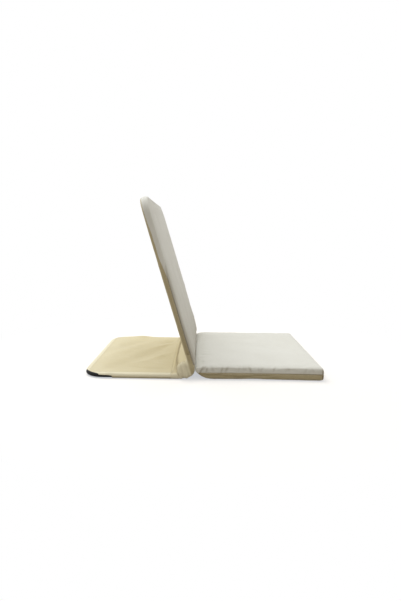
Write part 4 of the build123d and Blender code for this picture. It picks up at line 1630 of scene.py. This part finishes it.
class RepeatTree(Nodes):
    """A geometry nodes tree with named inputs, ending in real geometry with one material."""

    def __init__(self, name: str, inputs: dict[str, float]) -> None:
        """Start the tree.

        Args:
            name: Its name.
            inputs: Its inputs' names and values.
        """
        super().__init__(bpy.data.node_groups.new(name, "GeometryNodeTree"))
        self.inputs = inputs
        sockets = self.tree.interface
        sockets.new_socket("Geometry", in_out="INPUT", socket_type="NodeSocketGeometry")
        for key in inputs:
            sockets.new_socket(key, in_out="INPUT", socket_type="NodeSocketFloat")
        sockets.new_socket("Geometry", in_out="OUTPUT", socket_type="NodeSocketGeometry")
        self.given = self.add("NodeGroupInput").outputs

    def end(self, result: Socket, finish: bpy.types.Material) -> None:
        """Make the result real, give it its material and lead it out."""
        real = self.add("GeometryNodeRealizeInstances", {0: result})
        dressed = self.add("GeometryNodeSetMaterial", {"Geometry": real.outputs[0], "Material": finish})
        self.add("NodeGroupOutput", {0: dressed.outputs[0]})

    def make(self, piece: Object) -> None:
        """Run the tree on the piece and keep the plain mesh."""
        step = piece.modifiers.new(self.tree.name, "NODES")
        step.node_group = self.tree
        for socket in self.tree.interface.items_tree:
            if socket.in_out == "INPUT" and socket.name in self.inputs:
                step[socket.identifier] = self.inputs[socket.name]
        apply_modifiers(piece)
        piece.data.shade_smooth()


@dataclass
class StitchRows:
    """Rows of sewing stitches along seams, laid on the finished cloth."""

    palette: Palette
    pitch: float = 3.8
    length: float = 2.7
    thread: float = 0.42
    above: float = 0.12

    def tree(self) -> RepeatTree:
        """The tree that spaces stitches along every edge path of a mesh."""
        half = self.length / 2 * MM
        sizes = {"Pitch": self.pitch * MM, "Half Length": half, "Thread Radius": self.thread * MM}
        made = RepeatTree("stitch_rows", sizes)
        path = made.add("GeometryNodeMeshToCurve", {0: made.given["Geometry"]}).outputs[0]
        spacing = {"Curve": path, "Length": made.given["Pitch"]}
        spaced = made.add("GeometryNodeResampleCurve", spacing, mode="LENGTH").outputs[0]
        tangent = made.add("GeometryNodeInputTangent").outputs[0]
        turn = made.add("FunctionNodeAlignRotationToVector", {"Vector": tangent}, axis="Z").outputs[0]
        ball = {"Segments": 6, "Rings": 5, "Radius": 1.0}
        bead = made.add("GeometryNodeMeshUVSphere", ball).outputs["Mesh"]
        wide = made.given["Thread Radius"]
        size = made.add("ShaderNodeCombineXYZ", {0: wide, 1: wide, 2: made.given["Half Length"]}).outputs[0]
        laid = {"Points": spaced, "Instance": bead, "Rotation": turn, "Scale": size}
        made.end(made.add("GeometryNodeInstanceOnPoints", laid).outputs[0], self.palette.thread)
        return made

    def build(self, name: str, body: Body, rows: list[Array], cloth: Object, tree: RepeatTree) -> Object:
        """Sew the rows of one body, each snapped to the cloth and just above it.

        Args:
            name: Name of the piece.
            body: The body that it rides on.
            rows: Paths in metres.
            cloth: The finished cloth that they lie on.
            tree: The tree from tree().

        Returns:
            The stitches as one plain mesh.
        """
        corners = [Vector(p) for p in points_of(cloth)]
        surface = BVHTree.FromPolygons(corners, [tuple(f.vertices) for f in cloth.data.polygons])
        points, edges = [], []
        for row in rows:
            edges += [(i, i + 1) for i in range(len(points), len(points) + len(row) - 1)]
            for place in row:
                spot, normal, _, _ = surface.find_nearest(Vector(place))
                points.append((spot + normal * (self.above * MM))[:])
        mesh = bpy.data.meshes.new(name)
        mesh.from_pydata(points, edges, [])
        stitches = add_object(name, mesh)
        tree.make(stitches)
        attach(stitches, body.value)
        return stitches


@dataclass
class Sewing:
    """The chair's rows of stitches, placed by the sizes of the pieces that they hold."""

    chair: Chair
    seat: SeatCushion
    back: BackRest
    foot: FootCover
    stitches: StitchRows
    below_seam: float = 2.6
    beside_corner: float = 1.8
    from_fold: float = 30.0
    behind_seam: float = 16.0
    last_turn: float = 84.0
    seat_steps: tuple[int, int] = (90, 120)
    back_steps: tuple[int, int] = (90, 100)
    foot_steps: tuple[int, int] = (60, 80)
    corner_steps: int = 12

    def seat_rows(self) -> list[Array]:
        """Below the boxing's seam, round the sides and the front, and up the two front corners."""
        seat, half = self.seat, self.chair.half_width
        outline = Outline(half, 0.8, seat.length, seat.corner, seat.corner)
        rim = outline.rim(outline.grid(0.0, *self.seat_steps))
        past_fold = rim[:, 1] > self.from_fold
        start, end = int(np.argmax(past_fold)), int(np.nonzero((rim[:, 0] < 0) & past_fold)[0][-1])
        rows = [seat.shaped(rim[start : end + 1], seat.thickness / 2 - self.below_seam)]
        level = np.linspace(4.0, seat.thickness - 4.0, self.corner_steps)
        for side in (-1, 1):
            spot = np.array([side * half, seat.length - seat.front_seam + self.beside_corner])
            rows.append(seat.shaped(spot, level))
        return rows

    def back_rows(self) -> list[Array]:
        """Behind the seam of the pad's cloth, up both sides and over the top."""
        chair, r = self.chair, self.chair.sleeve_r
        outline = Outline(chair.half_width, chair.gusset_reach + 4, self.back.top, self.back.corner)
        outer, inner = (outline.rim(outline.grid(inset, *self.back_steps)) for inset in (0.0, r))
        turn = np.radians(np.minimum(self.back.seam_turn(outer[:, 1]) + self.behind_seam, self.last_turn))
        spot = inner + (outer - inner) / r * (r * np.cos(turn))[:, None]
        return [chair.back.lay(spot, chair.tube_offset - r * np.sin(turn))]

    def foot_rows(self) -> list[Array]:
        """The channel's row beside the tube, on the upper sheet."""
        chair, foot = self.chair, self.foot
        outline = Outline(chair.half_width, chair.gusset_reach + 3, foot.rear, foot.sheet_corner)
        return [chair.foot.lay(outline.rim(outline.grid(foot.channel, *self.foot_steps)), 0.0)]

    def build(self, cushion: Object, sleeve: Object, sheet: Object) -> list[Object]:
        """Sew the seat, the back and the foot."""
        tree = self.stitches.tree()
        sewn = [
            ("seat_stitches", Body.SEAT, self.seat_rows(), cushion),
            ("back_stitches", Body.BACK, self.back_rows(), sleeve),
            ("foot_stitches", Body.FOOT, self.foot_rows(), sheet),
        ]
        return [self.stitches.build(*row, tree) for row in sewn]


@dataclass
class ZipperCoil:
    """Closed nylon coil of the zipper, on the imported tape."""

    palette: Palette
    pitch: float = 2.4
    half_height: float = 2.7
    half_depth: float = 0.6
    wire: float = 0.42
    end_gap: float = 5.0
    ahead: float = 0.1

    def build(self) -> Object:
        """Wind the coil along the tape."""
        low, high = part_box("seat_zipper_tape")
        length = high[0] - low[0] - 2 * self.end_gap * MM
        made = RepeatTree("zipper_coil", {"Coil Radius": self.half_height * MM, "Coil Length": length})
        radius = made.given["Coil Radius"]
        sizes = {"Start Radius": radius, "End Radius": radius, "Height": made.given["Coil Length"]}
        steps = {"Resolution": 10, "Rotations": length / (self.pitch * MM)}
        curve = made.add("GeometryNodeCurveSpiral", {**steps, **sizes}).outputs[0]
        section = made.add("GeometryNodeCurvePrimitiveCircle", {"Resolution": 5, "Radius": self.wire * MM})
        place = (low[0] + self.end_gap * MM, low[1] - self.ahead * MM, (low[2] + high[2]) / 2)
        moves = {
            "Scale": (1.0, self.half_depth / self.half_height, 1.0),
            "Rotation": (0.0, math.pi / 2, 0.0),
            "Translation": place,
        }
        for name, value in moves.items():
            curve = made.add("GeometryNodeTransform", {"Geometry": curve, name: value}).outputs[0]
        wire = made.add("GeometryNodeCurveToMesh", {0: curve, 1: section.outputs[0]})
        made.end(wire.outputs[0], self.palette.tape)
        coil = add_object("zipper_coil", bpy.data.meshes.new("zipper_coil"))
        made.make(coil)
        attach(coil, Body.SEAT.value)
        return coil


@dataclass
class Hardware:
    """The steel frame, the hinges and the zipper's metal, kept as packed and given finishes."""

    palette: Palette

    def build(self, nodes: dict) -> None:
        """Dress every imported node; those that a cloth piece replaces don't show.

        Args:
            nodes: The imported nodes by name.
        """
        palette = self.palette
        finishes = {
            "back_frame_tube": palette.tube,
            "back_crossbar": palette.tube,
            "foot_frame_tube": palette.tube,
            "seat_zipper_tape": palette.tape,
            "zipper_slider": palette.zip,
            "zipper_pull": palette.zip,
        }
        for name, node in nodes.items():
            finish = palette.spring if "spring" in name else palette.steel
            if "pin" in name or "rivet" in name:
                finish = palette.pin
            node.data.materials.clear()
            node.data.materials.append(finishes.get(name, finish))


# View and light --------------------------------------------------------------------------------


@dataclass
class Studio:
    """Pale floor, soft light and the camera at the photograph's view."""

    sensor: float = 36.0
    focal_px: float = 465.1
    frame_height_px: float = 601.0
    eye: tuple[float, float, float] = (-1.5715, 0.0141, 0.405)
    yaw: float = 0.043
    pitch: float = 7.484
    roll: float = 0.89
    floor_half: float = 30.0
    floor_drop: float = 0.0005
    floor_white: Pair = (0.42, 0.85)
    floor_glow: float = 0.575

    def camera(self) -> Object:
        """The camera, looking nearly along the chair's width."""
        data = bpy.data.cameras.new("camera")
        data.sensor_width = self.sensor
        data.lens = self.focal_px / self.frame_height_px * self.sensor
        yaw, pitch, roll = (math.radians(v) for v in (self.yaw, self.pitch, self.roll))
        forward_axis, across_axis, up_axis = Vector((0, -1, 0)), Vector((1, 0, 0)), Vector((0, 0, 1))
        look = math.cos(pitch) * (math.sin(yaw) * forward_axis + math.cos(yaw) * across_axis)
        look -= math.sin(pitch) * up_axis
        right = math.cos(yaw) * forward_axis - math.sin(yaw) * across_axis
        up = right.cross(look)
        right_turned = right * math.cos(roll) + up * math.sin(roll)
        up_turned = up * math.cos(roll) - right * math.sin(roll)
        turn = Matrix((right_turned, up_turned, -look)).transposed().to_4x4()
        camera = add_object("camera", data)
        camera.matrix_world = Matrix.Translation(self.eye) @ turn
        bpy.context.scene.camera = camera
        return camera

    def lamp(self, name: str, place: Vector, aim: Vector, size: float, power: float, tint: tuple) -> None:
        """A square soft lamp.

        Args:
            name: Its name.
            place: Where it stands.
            aim: The point that it faces.
            size: Length of its side, in metres.
            power: Its power in watts.
            tint: Its colour.
        """
        data = bpy.data.lights.new(name, "AREA")
        data.size, data.energy, data.color = size, power, tint
        lamp = add_object(name, data)
        lamp.location = place
        lamp.rotation_euler = (aim - place).to_track_quat("-Z", "Y").to_euler()

    def floor(self) -> Object:
        """A pale floor that keeps the chair's shadow and goes white further out."""
        mesh, half = bpy.data.meshes.new("floor"), self.floor_half
        corners = [(-half, -half, 0), (half, -half, 0), (half, half, 0), (-half, half, 0)]
        mesh.from_pydata(corners, [], [(0, 1, 2, 3)])
        floor = add_object("floor", mesh)
        floor.location.z = -self.floor_drop
        w = NodeWriter("floor_white")
        place = w.add("TexCoord").outputs["Object"]
        reach = w.add("VectorMath", {0: place}, operation="LENGTH").outputs["Value"]
        far, seen = w.remap(reach, self.floor_white, (0.0, 1.0)), w.direct_ray()
        glow = w.add("Emission", {"Color": (1, 1, 1, 1), "Strength": 1.0}).outputs[0]
        w.shade({"Base Color": (0.53, 0.49, 0.43, 1), "Roughness": 0.95, "Specular IOR Level": 0.0})
        lit = w.math("MULTIPLY", seen, self.floor_glow)
        w.shade({"Emission Color": (0.92, 0.95, 1, 1), "Emission Strength": lit})
        white = w.math("MULTIPLY", far, seen)
        blend = w.add("MixShader", {0: white, 1: w.shader.outputs[0], 2: glow}).outputs[0]
        w.put(w.tree.nodes["Material Output"].inputs["Surface"], blend)
        mesh.materials.append(w.material)
        return floor

    def world(self, strength: float, tint: Colour) -> None:
        """A plain surround that lights softly and is white to the camera."""
        world = bpy.data.worlds.new("surround")
        world.use_nodes = True
        bpy.context.scene.world = world
        w = Nodes(world.node_tree, "ShaderNode")
        soft = w.tree.nodes["Background"]
        w.put(soft.inputs[0], tint)
        w.put(soft.inputs[1], strength)
        white = w.add("Background", {0: (1, 1, 1, 1), 1: 1.0}).outputs[0]
        blend = w.add("MixShader", {0: w.direct_ray(), 1: soft.outputs[0], 2: white}).outputs[0]
        w.put(w.tree.nodes["World Output"].inputs["Surface"], blend)

    def build(self) -> None:
        """Set up the view and the light."""
        bpy.context.scene.view_settings.view_transform = "Standard"
        self.camera()
        self.floor()
        self.world(strength=0.5, tint=(1.0, 0.965, 0.91, 1.0))
        middle = Vector((0.0, 0.0, 0.1))
        top, front = Vector((0.7, 0.9, 2.3)), Vector((0.2, -2.4, 1.3))
        self.lamp("lamp_top", top, middle, size=2.2, power=56.0, tint=(0.97, 0.99, 1.0))
        self.lamp("lamp_front", front, middle, size=1.6, power=9.0, tint=(1.0, 0.99, 0.97))


def main() -> None:
    """Build the chair's looks in order."""
    logging.basicConfig(level=logging.INFO, format="%(name)s: %(message)s")
    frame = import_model()
    chair = Chair()
    palette = Palette(chair)
    Studio().build()
    Hardware(palette).build(frame["nodes"])
    seat, back, foot = SeatCushion(chair, palette), BackRest(chair, palette), FootCover(chair, palette)
    cushion, (pad, sleeve), foot_cloth = seat.build(), back.build(), foot.build()
    sewing = Sewing(chair, seat, back, foot, StitchRows(palette))
    pieces = [cushion, pad, sleeve, *foot_cloth]
    pieces += FoldCloth(chair, palette).build()
    pieces.append(Crevice(chair, palette).build())
    pieces += sewing.build(cushion, sleeve, foot_cloth[0])
    pieces.append(ZipperCoil(palette).build())
    for piece in pieces:
        LOG.info("%s: %d faces", piece.name, len(piece.data.polygons))


if __name__ == "__main__":
    main()
